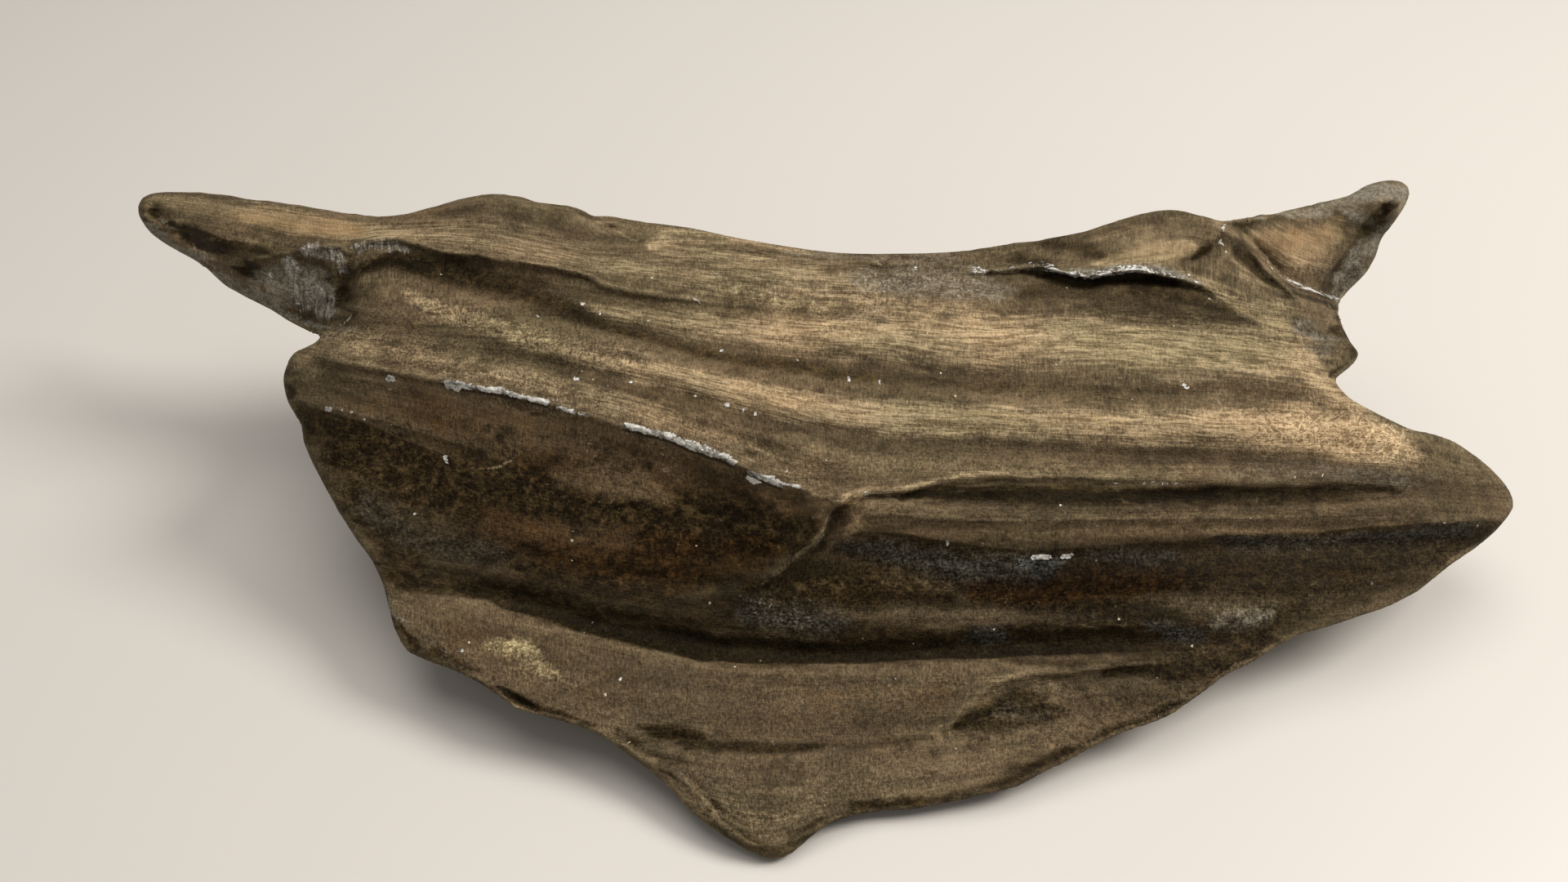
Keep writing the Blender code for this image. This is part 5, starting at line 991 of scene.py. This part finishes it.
def main_body(mesh):
    """the even skin can leave a bubble or two beside the stone: only the largest body is kept"""
    ends = np.empty(len(mesh.edges) * 2, np.int64)
    mesh.edges.foreach_get("vertices", ends)
    a, b = ends[0::2], ends[1::2]
    label = np.arange(len(mesh.vertices))
    while (label[a] != label[b]).any():
        low = np.minimum(label[a], label[b])
        joined = label.copy()
        np.minimum.at(joined, label[a], low)
        np.minimum.at(joined, label[b], low)
        label = joined[joined]
    spare = np.nonzero(label != np.bincount(label).argmax())[0]
    if len(spare):
        bm = bmesh.new()
        bm.from_mesh(mesh)
        bm.verts.ensure_lookup_table()
        bmesh.ops.delete(bm, geom=[bm.verts[i] for i in spare.tolist()], context="VERTS")
        bm.to_mesh(mesh)
        bm.free()
        mesh.update()
    print("sculpt: spare points removed", len(spare))


def sculpt():
    grid = 4.5
    verts, faces = skin(grid)
    mesh = bpy.data.meshes.new("form")
    mesh.from_pydata(verts.tolist(), [], faces.tolist())
    mesh.update()
    piece = link(bpy.data.objects.new("form", mesh))
    even = piece.modifiers.new("even_skin", "REMESH")
    even.mode = "VOXEL"
    even.voxel_size = VOXEL
    dense = evaluated_copy(piece)
    piece.modifiers.clear()
    main_body(dense)

    p, n = read(dense, "co"), read(dense, "normal")
    u, v, s, d, sf, sb = drawn(p)
    facing = (n * toward_view(p)).sum(1)
    k = ease((facing - 0.15) / 0.3) * (1 - ease((np.abs(s - sf) - 0.8) / 0.8)) * ease((d - 1.0) / 2.0)
    s2 = s + (sf - s) * k
    p = place(u, v, s2)
    write(dense, p)
    n = read(dense, "normal")
    w = np.maximum(s2 - sf, 0)
    out = fine_form(p, n, u, v, w, grain_of(u, v), sb - sf)
    p = p + n * out[:, None] / 1000
    z = p[:, 2] * 1000
    low, top = -BELLY_DEPTH * 1000, 0.7
    z = np.where(z < top, np.maximum((z - low) / (top - low) * top, 0), z)
    p[:, 2] = z / 1000
    write(dense, p)

    piece.data = dense
    count = sum(len(q.vertices) - 2 for q in dense.polygons)
    if count > TRIANGLES:
        group = piece.vertex_groups.new(name="fewer")
        weight = 0.35 + 0.65 * ease(w / 4.0)
        for level in range(1, 11):
            chosen = np.nonzero(np.ceil(weight * 10).astype(int) == level)[0]
            if len(chosen):
                group.add(chosen.tolist(), level / 10, "REPLACE")
        fewer = piece.modifiers.new("fewer_faces", "DECIMATE")
        fewer.ratio = TRIANGLES / count
        fewer.vertex_group = "fewer"
        fewer.vertex_group_factor = 1.0
        fewer.use_collapse_triangulate = True
        dense = evaluated_copy(piece)
        piece.modifiers.clear()
        main_body(dense)
    bpy.data.objects.remove(piece)
    print("sculpt: faces", len(dense.polygons), "from", count)
    return dense


# ---------------------------------------------------------------- what the finish reads from the mesh
def curvature(mesh, rounds, p, n):
    """mm that each point stands out of its smoothed surroundings"""
    ends = np.empty(len(mesh.edges) * 2, np.int64)
    mesh.edges.foreach_get("vertices", ends)
    a, b = ends[0::2], ends[1::2]
    degree = np.bincount(np.concatenate([a, b]), minlength=len(p)).astype(float)
    q = p * 1000
    for _ in range(rounds):
        q = np.stack([
            (np.bincount(a, q[b, i], len(p)) + np.bincount(b, q[a, i], len(p)) + q[:, i]) / (degree + 1)
            for i in range(3)], 1)
    return ((p * 1000 - q) * n).sum(1)


def lay_paint(mesh):
    p, n = read(mesh, "co"), read(mesh, "normal")
    u, v, s, d, sf, sb = drawn(p)
    w = np.maximum(s - sf, 0)
    g = grain_of(u, v)
    uw, vw = wander(u, v, d)
    behind = ease((w - 1.8) / 6.0)
    seen = 1 - behind
    # dabs are dragged along the grain a little, so that none has a ruled edge
    du = 14 * noise(u / 70, g / 14, 0, 51) + 6 * noise(u / 26, g / 6, 0, 52)
    dv = 4.6 * noise(u / 150, g / 30, 0, 55) + 3.6 * noise(u / 60, g / 9, 0, 53) + 1.8 * noise(u / 22, g / 5, 0, 54)
    ud, vd = uw + du, vw + dv
    q = g + 5.4 * w                                  # grain across the hidden side
    bands = 0.5 + 0.5 * noise(u / 420, q / 42, w / 16, 71) + 0.30 * noise(u / 200, q / 17, w / 9, 72)
    patches = noise(u / 230, q / 120, w / 20, 73)
    others = noise(u / 190, q / 80, w / 18, 74)
    big = curvature(mesh, 50, p, n)
    fine = curvature(mesh, 4, p, n)

    tan = dabbed(TAN, ud, vd) * seen + behind * 0.75 * ease((bands - 0.52) / 0.5)
    # dark stone and painted shade on the seen side; the hidden side gets dark bands of stone only
    dark_and_shade = dabbed(DARK_AND_SHADE, ud, vd) * (1 - dabbed(LIGHT, ud, vd)) * seen + behind * 0.80 * ease((0.42 - bands) / 0.42)
    rust = dabbed(RUST, ud, vd) * seen + behind * 0.75 * ease((patches - 0.05) / 0.5)
    slate = dabbed(SLATE, ud, vd) * seen + behind * 0.55 * ease((others - 0.2) / 0.45)
    ochre = dabbed(OCHRE, ud, vd) * seen + behind * 0.4 * ease((-others - 0.35) / 0.3)
    ash = dabbed(ASH, ud, vd) * seen + behind * 0.35 * ease((-patches - 0.1) / 0.5)
    shown = ease(((n * toward_view(p)).sum(1) - 0.01) / 0.10)       # 0 where the sheet only grazes the stone
    white = dabbed(WHITE, uw, vw) * seen * shown + behind * 0.62 * ease((fine - 0.12) / 0.12) * ease((noise(u / 60, q / 60, w / 8, 75) - 0.40) / 0.3)
    speck = dabbed(SPECK, ud, vd) * seen + behind * 0.5 * ease((noise(u / 120, q / 60, w / 12, 76) - 0.2) / 0.4)
    grit = dabbed(GRIT, uw, vw) * seen
    calm = dabbed(CALM, uw, vw) * seen
    face = dabbed(FACE, ud, vd) * seen
    scratch = dabbed(SCRATCH, uw, vw) * seen + behind * 0.5 * ease((noise(u / 90, q / 90, w / 10, 77) - 0.35) / 0.3)
    warm = dabbed(WARM, ud, vd) * seen + behind * 0.5 * ease((others - 0.1) / 0.4)
    dull = dabbed(GREY, ud, vd) * seen + behind * 0.5 * ease((-others - 0.05) / 0.5)
    grainy = dabbed(GRAINY, uw, vw) * seen + 0.5 * behind
    quiet = dabbed(QUIET, uw, vw) * seen
    lift = dabbed(LIFT, ud, vd) * seen
    sink = dabbed(SINK, ud, vd) * seen
    away = behind * 100
    columns = {
        "grain": (u, g, w * 6),
        "sheet": (uw, vw, behind),
        "paint_a": (tan, dark_and_shade, rust),
        "paint_b": (slate, ochre, ash),
        "paint_c": (speck, grit, calm),
        "paint_d": (white, big, fine),
        "paint_e": (face, scratch, warm),
        "paint_f": (dull, grainy, quiet),
        "paint_g": (lift, sink, 0 * u),
    }
    for name, points in LINES.items():
        far, share = lined(points, uw, vw)
        if name in ("ridge", "step", "peak", "fleck", "crown"):
            share = share * shown
        columns["line_" + name] = (far + away, share * seen, 0 * u)
    for name, cols in columns.items():
        layer = mesh.attributes.new(name, "FLOAT_VECTOR", "POINT")
        layer.data.foreach_set("vector", np.stack(cols, 1).astype(np.float32).ravel())


# ---------------------------------------------------------------- node helper
def srgb(r, g, b):
    return tuple(c / 255 / 12.92 if c / 255 <= 0.04045 else ((c / 255 + 0.055) / 1.055) ** 2.4 for c in (r, g, b)) + (1.0,)


class Shader:
    def __init__(self, name):
        self.material = bpy.data.materials.new(name)
        self.material.use_nodes = True
        self.tree = self.material.node_tree
        self.tree.nodes.clear()

    def node(self, kind, **settings):
        n = self.tree.nodes.new(kind)
        for key, value in settings.items():
            setattr(n, key, value)
        return n

    def put(self, socket, value):
        if isinstance(value, bpy.types.NodeSocket):
            self.tree.links.new(value, socket)
        else:
            socket.default_value = value

    def math(self, op, a, b=0.0, clamp=False):
        n = self.node("ShaderNodeMath", operation=op, use_clamp=clamp)
        self.put(n.inputs[0], a)
        self.put(n.inputs[1], b)
        return n.outputs[0]

    def total(self, *terms):
        """sum of (socket, weight) pairs and plain numbers"""
        out = None
        for t in terms:
            if isinstance(t, tuple):
                t = self.math("MULTIPLY", t[0], t[1])
            out = t if out is None else self.math("ADD", out, t)
        return out

    def span(self, x, low, high, start=0.0, end=1.0):
        n = self.node("ShaderNodeMapRange", interpolation_type="SMOOTHSTEP", clamp=True)
        for i, value in enumerate((x, low, high, start, end)):
            self.put(n.inputs[i], value)
        return n.outputs[0]

    def mix(self, fac, a, b, mode="MIX"):
        n = self.node("ShaderNodeMix", data_type="RGBA", blend_type=mode, clamp_factor=True)
        self.put(n.inputs[0], fac)
        self.put(n.inputs[6], a)
        self.put(n.inputs[7], b)
        return n.outputs[2]

    def attribute(self, name):
        n = self.node("ShaderNodeAttribute", attribute_name=name, attribute_type="GEOMETRY")
        split = self.node("ShaderNodeSeparateXYZ")
        self.put(split.inputs[0], n.outputs["Vector"])
        return n.outputs["Vector"], split.outputs[0], split.outputs[1], split.outputs[2]

    def scaled(self, vector, by, shift=(0, 0, 0)):
        n = self.node("ShaderNodeVectorMath", operation="MULTIPLY_ADD")
        self.put(n.inputs[0], vector)
        n.inputs[1].default_value = by
        n.inputs[2].default_value = shift
        return n.outputs[0]

    def noise(self, vector, detail=2.0, rough=0.5, twist=0.0):
        n = self.node("ShaderNodeTexNoise", noise_dimensions="3D", normalize=True)
        self.put(n.inputs["Vector"], vector)
        n.inputs["Scale"].default_value = 1.0
        n.inputs["Detail"].default_value = detail
        n.inputs["Roughness"].default_value = rough
        n.inputs["Distortion"].default_value = twist
        return n.outputs[0]

    def cells(self, vector, jitter=1.0):
        n = self.node("ShaderNodeTexVoronoi", voronoi_dimensions="3D", feature="F1")
        self.put(n.inputs["Vector"], vector)
        n.inputs["Scale"].default_value = 1.0
        n.inputs["Randomness"].default_value = jitter
        return n.outputs["Distance"], n.outputs["Color"]


def stone_material():
    m = Shader("silicified_wood")
    grain, gu, gg, gw = m.attribute("grain")
    sheet, su, sv, behind = m.attribute("sheet")
    _, tan, dark_and_shade, rust = m.attribute("paint_a")
    _, slate, ochre, ash = m.attribute("paint_b")
    _, speck, grit, calm = m.attribute("paint_c")
    _, white, big, fine = m.attribute("paint_d")
    _, face, scratch, warm = m.attribute("paint_e")
    _, dull, grainy, quiet = m.attribute("paint_f")
    _, lift, sink, _ = m.attribute("paint_g")
    spot = m.node("ShaderNodeTexCoord").outputs["Object"]
    line = {name: m.attribute("line_" + name)[1:3] for name in LINES}

    # noise fields, 0 to 1 about 0.5: along the grain, across it, then even ones
    band = m.noise(m.scaled(grain, (1 / 260, 1 / 22, 1 / 30)), 3, 0.55)
    streak = m.noise(m.scaled(grain, (1 / 74, 1 / 6.0, 1 / 9), (3, 7, 1)), 3, 0.62, 0.6)
    wisp = m.noise(m.scaled(grain, (1 / 38, 1 / 2.9, 1 / 3.5), (9, 2, 5)), 2, 0.62, 0.9)
    fuzz = m.noise(m.scaled(grain, (1 / 2.4, 1 / 6.0, 1 / 6.5), (4, 8, 2)), 2, 0.6, 0.9)
    blotch = m.noise(m.scaled(spot, (60, 95, 95)), 4, 0.62, 0.5)
    mottle = m.noise(m.scaled(spot, (260, 360, 360), (5, 5, 5)), 4, 0.66, 0.5)
    clump = m.noise(m.scaled(spot, (560, 700, 700), (7, 1, 4)), 2, 0.6, 0.6)
    swirl = m.noise(m.scaled(spot, (420, 520, 520), (2, 9, 6)), 2, 0.6, 3.0)
    curl = m.noise(m.scaled(spot, (160, 230, 230), (6, 4, 9)), 2, 0.55, 2.2)
    curl_b = m.noise(m.scaled(spot, (230, 310, 310), (1, 8, 3)), 2, 0.55, 2.6)
    dust = m.noise(m.scaled(spot, (1500, 1900, 1900), (1, 2, 3)), 2, 0.75)
    soft = m.total((mottle, 0.45), (dust, 0.55))
    open_ = m.math("SUBTRACT", 1.0, face)            # 0 on the polished broken face
    fibrous = m.total((grainy, -0.75), 1.0)
    granules = m.total((clump, 0.34), (dust, 0.34), (fuzz, 0.32))

    c = m.mix(m.span(m.total((band, 0.40), (mottle, 0.25), (fuzz, 0.35)), 0.38, 0.62), srgb(74, 62, 45), srgb(110, 94, 71))
    c = m.mix(m.math("MULTIPLY", m.span(m.total((streak, 0.7), (wisp, 0.3)), 0.50, 0.68, 0, 0.35), m.math("MULTIPLY", open_, fibrous)), c, srgb(130, 112, 85))
    c = m.mix(m.span(m.total(ash, (blotch, 0.5), (fuzz, 0.4), -0.45), 0.1, 0.9, 0, 0.75), c, m.mix(m.span(fuzz, 0.36, 0.64), srgb(80, 67, 50), srgb(106, 91, 70)))
    # tan bands of open fibre
    ragged = m.total((wisp, 0.55), (fuzz, 0.35), (streak, 0.45), (mottle, 0.30), -0.825)
    tan_f = m.span(m.total(tan, (ragged, 1.1)), 0.04, 0.92)
    strands = m.total((wisp, 0.50), (streak, 0.22), (fuzz, 0.16), (dust, 0.12))
    strands = m.total(strands, (m.math("MULTIPLY", m.math("SUBTRACT", granules, strands), grainy), 0.85))
    wool = m.mix(m.span(strands, 0.39, 0.62), srgb(113, 95, 69), srgb(181, 159, 125))
    tan_c = m.mix(m.math("MULTIPLY", calm, 0.75), wool, m.mix(m.span(m.total((blotch, 0.5), (mottle, 0.3), (fuzz, 0.2)), 0.36, 0.64), srgb(128, 105, 76), srgb(160, 137, 105)))
    strand = m.math("MAXIMUM", m.span(m.math("ABSOLUTE", m.math("SUBTRACT", curl, 0.5)), 0.055, 0.0), m.span(m.math("ABSOLUTE", m.math("SUBTRACT", curl_b, 0.5)), 0.050, 0.0))
    tangle = m.total((strand, 0.62), (swirl, 0.30), (wisp, 0.20), (dust, 0.30), -0.12)
    tan_c = m.mix(m.math("MULTIPLY", grit, 0.85), tan_c, m.mix(m.span(tangle, 0.22, 0.84), srgb(112, 92, 66), srgb(188, 165, 131)))
    c = m.mix(tan_f, c, tan_c)
    # broad changes of tone, and stains
    tone = m.noise(m.scaled(spot, (26, 38, 38), (3, 1, 8)), 3, 0.6, 0.6)
    stained = m.span(m.total((blotch, 0.55), (mottle, 0.30), (clump, 0.15)), 0.50, 0.36, 0, 0.62)
    stained = m.math("MULTIPLY", stained, m.total((quiet, -0.65), 1.0))
    c = m.mix(m.math("MULTIPLY", stained, m.span(tan_f, 1.0, 0.0, 0.45, 1.0)), c, srgb(64, 53, 37))
    c = m.mix(m.span(tone, 0.46, 0.64, 0, 0.9), c, (0.80, 0.84, 0.80, 1.0), "MULTIPLY")
    c = m.mix(m.span(tone, 0.54, 0.36, 0, 0.9), c, (1.0, 0.965, 0.94, 1.0), "MULTIPLY")
    # dark silica, and painted shade under arrises and ledges, in hollows, along the lower outline and on slopes turned
    # from the lamps
    below = None
    for name, rise, gone, full, power in SHADES:
        far, share = line[name]
        far = m.total((far, rise), (mottle, 6.0), (fuzz, 2.5), -4.25)
        f = m.math("MULTIPLY", m.span(far, -2.5, 3.0), m.span(far, gone, full))
        f = m.math("MULTIPLY", f, m.math("MULTIPLY", share, power))
        below = f if below is None else m.math("MAXIMUM", below, f)
    shade = m.math("MAXIMUM", dark_and_shade, below)
    dark_f = m.span(m.total(shade, (fuzz, 0.22), (blotch, 0.30), (mottle, 0.35), (clump, 0.40), -0.635), 0.06, 0.86)
    dark_c = m.mix(m.span(m.total((mottle, 0.35), (clump, 0.45), (dust, 0.2)), 0.40, 0.66), srgb(28, 20, 7), srgb(60, 48, 28))
    c = m.mix(m.math("MULTIPLY", dark_f, 0.96), c, dark_c)
    # painted shade: where the mask runs past full strength, in the deepest hollows and undercuts, the colour goes near
    # black
    c = m.mix(m.span(m.total(shade, (mottle, 0.25), (clump, 0.15), -0.20), 0.86, 1.10, 0, 0.80), c, srgb(22, 17, 6))
    # the polished face: mottled, with small pale flecks
    patch = m.total((mottle, 0.40), (blotch, 0.30), (clump, 0.30))
    c = m.mix(m.math("MULTIPLY", face, m.span(patch, 0.48, 0.64, 0, 0.50)), c, srgb(86, 69, 43))
    c = m.mix(m.math("MULTIPLY", face, m.span(patch, 0.50, 0.36, 0, 0.70)), c, srgb(28, 20, 8))
    # iron stain and slate-grey silica
    stain = m.span(m.total(rust, (blotch, 0.9), (mottle, 0.9), -0.9), 0.05, 0.95, 0, 0.85)
    c = m.mix(stain, c, (0.86, 0.62, 0.40, 1.0), "MULTIPLY")
    c = m.mix(m.span(m.total(warm, (streak, 0.4), (mottle, 0.4), -0.4), 0.1, 0.9, 0, 0.9), c, (1.0, 0.90, 0.78, 1.0), "MULTIPLY")
    slate_f = m.span(m.total(slate, (mottle, 0.5), (clump, 0.5), (fuzz, 0.3), -0.65), 0.10, 0.95, 0, 0.80)
    c = m.mix(slate_f, c, m.mix(m.span(dust, 0.35, 0.7), srgb(36, 37, 34), srgb(80, 82, 79)))
    c = m.mix(m.span(m.total(ochre, (mottle, 0.9), (fuzz, 0.4), (dust, 0.4), -0.85), 0.2, 0.9, 0, 0.8), c, m.mix(m.span(m.total((dust, 0.6), (clump, 0.4)), 0.40, 0.60), srgb(142, 124, 86), srgb(188, 172, 130)))

    dull_f = m.span(m.total(dull, (mottle, 0.6), (clump, 0.5), (fuzz, 0.2), -0.65), 0.10, 0.90, 0, 0.85)
    c = m.mix(dull_f, c, m.mix(m.span(m.total((dust, 0.5), (clump, 0.5)), 0.38, 0.62), srgb(97, 90, 77), srgb(138, 131, 116)))

    # edges are paler (wear, and a painted highlight); hollows are darker (painted shade)
    c = m.mix(m.span(m.total((fine, 1.0), (mottle, 0.10), -0.05), 0.10, 0.32, 0, 0.25), c, srgb(150, 132, 102))
    c = m.mix(m.span(big, -0.3, -1.6, 0, 0.30), c, srgb(34, 27, 17))

    # grey scratches that run down the broken end
    rake = m.noise(m.scaled(sheet, (1 / 6.5, 1 / 30, 0.0), (6, 1, 0)), 4, 0.68, 1.2)
    rake_f = m.math("MULTIPLY", m.span(m.total(scratch, (rake, 1.6), (mottle, 1.2), (blotch, 0.8), -1.8), 0.35, 1.05), 0.85)
    c = m.mix(rake_f, c, m.mix(m.span(m.total((rake, 0.55), (dust, 0.45)), 0.38, 0.64), srgb(98, 92, 82), srgb(182, 177, 168)))
    c = m.mix(m.math("MULTIPLY", scratch, m.span(rake, 0.45, 0.37, 0, 0.50)), c, srgb(44, 38, 28))

    for name, power in PALES:
        far, share = line[name]
        far = m.total(far, (mottle, 6.0), (clump, 3.0), -4.5)
        thin = m.math("MULTIPLY", m.span(far, -2.2, -0.2), m.span(far, 2.2, 0.2))
        c = m.mix(m.math("MULTIPLY", m.math("MULTIPLY", thin, share), m.span(soft, 0.38, 0.56, power * 0.2, power)), c, srgb(150, 132, 102))

    # fine granular dusting
    grey = m.span(m.total((mottle, 0.30), (dust, 0.40), (fuzz, 0.30)), 0.32, 0.68, 0.62, 1.38)
    coarse = m.span(m.total((clump, 0.28), (dust, 0.44), (fuzz, 0.28)), 0.35, 0.65, 0.44, 1.54)
    grey = m.total(grey, (m.math("MULTIPLY", m.math("SUBTRACT", coarse, grey), grainy), 0.85))
    much = m.total((dark_f, 0.60), (tan_f, -0.22), (quiet, -0.62), 1.0)
    grey = m.total(m.math("MULTIPLY", m.total(grey, -1.0), much), 1.0)
    # lift is paler stone and painted light over the relief's shade; sink makes it a little darker
    grey = m.math("MULTIPLY", grey, m.total((lift, 1.10), (sink, -0.60), 1.0))
    lighter = m.node("ShaderNodeCombineColor")
    for i in range(3):
        m.put(lighter.inputs[i], grey)
    c = m.mix(0.9, c, lighter.outputs[0], "MULTIPLY")
    dots, tint = m.cells(m.scaled(spot, (400, 400, 400)))
    tint_split = m.node("ShaderNodeSeparateColor")
    m.put(tint_split.inputs[0], tint)
    size = m.math("MULTIPLY", m.span(tint_split.outputs[0], 0.80, 1.0), 0.11)
    sprinkle = m.math("GREATER_THAN", m.total(size, (dust, 0.30), (dots, -1.0), -0.15), 0.0)
    c = m.mix(m.math("MULTIPLY", sprinkle, m.span(tint_split.outputs[1], 0.1, 0.9)), c, srgb(190, 180, 154))
    # pale speckled zones
    speck_f = m.math("MULTIPLY", m.span(m.total((dust, 0.55), (fuzz, 0.15), (mottle, 0.45), (speck, 0.10), -0.175), 0.53, 0.62), m.math("MULTIPLY", m.span(speck, 0.05, 0.8), 0.70))
    c = m.mix(speck_f, c, srgb(172, 162, 142))

    # broken agate-white edges along the traced lines, ragged by noise, each with a thin painted shadow just below it
    notch = m.total((mottle, 8.0), (dust, 5.0), (fuzz, 2.0), -7.5)
    jag = m.total((fuzz, 4.0), (dust, 5.0), (clump, 4.0), (mottle, 8.0), -10.5)
    chips = None
    under = None
    for name, start, width, need in CHIPS:
        far, share = line[name]
        far = m.math("ADD", far, (m.math("MULTIPLY", notch, 0.6)))
        last = m.total((share, width), jag)
        inner = m.span(far, start - 0.7, start + 0.7)
        outer = m.span(m.math("SUBTRACT", far, last), 0.7, -0.7)
        here = m.span(m.total(share, (blotch, 0.5), (mottle, 0.9), (clump, 0.6), -1.0), need - 0.06, need + 0.06)
        f = m.math("MULTIPLY", m.math("MULTIPLY", inner, outer), here)
        chips = f if chips is None else m.math("MAXIMUM", chips, f)
        # painted shadow: a thin rim just past the outer edge of each chip
        rim = m.math("MULTIPLY", m.math("MULTIPLY", m.span(m.math("SUBTRACT", far, last), -1.0, 0.6), m.span(m.math("SUBTRACT", far, last), 5.0, 1.5)), here)
        under = rim if under is None else m.math("MAXIMUM", under, rim)
    spots = m.span(m.total(white, (mottle, 1.1), (dust, 0.8), -0.95), 0.55, 0.68)
    chips = m.math("MAXIMUM", chips, spots)
    chip_c = m.mix(m.span(m.total((dust, 0.35), (clump, 0.40), (mottle, 0.25)), 0.40, 0.58), srgb(124, 119, 109), srgb(222, 219, 211))
    # painted shadow under the chips
    c = m.mix(m.math("MULTIPLY", under, 0.75), c, srgb(34, 26, 14))
    c = m.mix(m.math("MULTIPLY", chips, 0.93), c, chip_c)

    rough = m.span(m.total((mottle, 0.5), (dust, 0.3), (tan_f, 0.35), (dark_f, -0.20), (chips, -0.3), (face, -0.25)), -0.1, 0.9, 0.50, 0.92)

    height = m.total((streak, 0.5), (wisp, 0.55), (fuzz, 0.45), (mottle, 1.1), (dust, 0.7), (chips, 1.1), (under, -0.4))
    bump = m.node("ShaderNodeBump")
    bump.inputs["Strength"].default_value = 0.8
    bump.inputs["Distance"].default_value = 0.00035
    m.put(bump.inputs["Height"], height)

    surface = m.node("ShaderNodeBsdfPrincipled")
    surface.inputs["Metallic"].default_value = 0.0
    surface.inputs["IOR"].default_value = 1.5
    surface.inputs["Specular IOR Level"].default_value = 0.05
    m.put(surface.inputs["Base Color"], c)
    m.put(surface.inputs["Roughness"], rough)
    m.put(surface.inputs["Normal"], bump.outputs[0])
    out = m.node("ShaderNodeOutputMaterial")
    m.put(out.inputs["Surface"], surface.outputs[0])
    return m.material


# ---------------------------------------------------------------- the piece
stone_mesh = sculpt()
stone_mesh.name = "petrified_wood_stone"
lay_paint(stone_mesh)
stone_mesh.shade_smooth()
stone_mesh.materials.clear()
stone_mesh.materials.append(stone_material())
stone = link(bpy.data.objects.new("petrified_wood_stone", stone_mesh))
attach(stone, "root")
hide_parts("petrified_wood")


# ---------------------------------------------------------------- floor, light and camera
def floor_material():
    m = Shader("pale_floor")
    surface = m.node("ShaderNodeBsdfPrincipled")
    surface.inputs["Base Color"].default_value = FLOOR_COLOUR
    surface.inputs["Roughness"].default_value = 0.42
    surface.inputs["Specular IOR Level"].default_value = 0.4
    out = m.node("ShaderNodeOutputMaterial")
    m.put(out.inputs["Surface"], surface.outputs[0])
    return m.material


floor_mesh = bpy.data.meshes.new("floor")
floor_mesh.from_pydata([(-3, -3, 0), (3, -3, 0), (3, 3, 0), (-3, 3, 0)], [], [(0, 1, 2, 3)])
floor_mesh.materials.append(floor_material())
floor = link(bpy.data.objects.new("floor", floor_mesh))
floor.location.z = -0.0002

world = bpy.data.worlds.new("studio")
bpy.context.scene.world = world
world.use_nodes = True
world.node_tree.nodes["Background"].inputs[0].default_value = WORLD_COLOUR
world.node_tree.nodes["Background"].inputs[1].default_value = WORLD_POWER

for _name, _at, _size, _power, _colour in LAMPS:
    _lamp = bpy.data.lights.new(_name, "AREA")
    _lamp.shape = "DISK"
    _lamp.size = _size
    _lamp.energy = _power
    _lamp.color = _colour
    _obj = link(bpy.data.objects.new(_name, _lamp))
    _obj.location = _at
    _obj.rotation_euler = (mathutils.Vector(_at) - mathutils.Vector((0, 0, 0.03))).to_track_quat("Z", "Y").to_euler()

lens = bpy.data.cameras.new("camera")
lens.sensor_width = 36.0
lens.lens = 28.125
lens.clip_start = 0.005
camera = link(bpy.data.objects.new("camera", lens))
camera.location = VIEW
camera.rotation_euler = (VIEW_TILT, 0, 0)
bpy.context.scene.camera = camera
bpy.context.scene.view_settings.view_transform = "Standard"
bpy.context.scene.view_settings.look = "None"

bpy.context.view_layer.update()
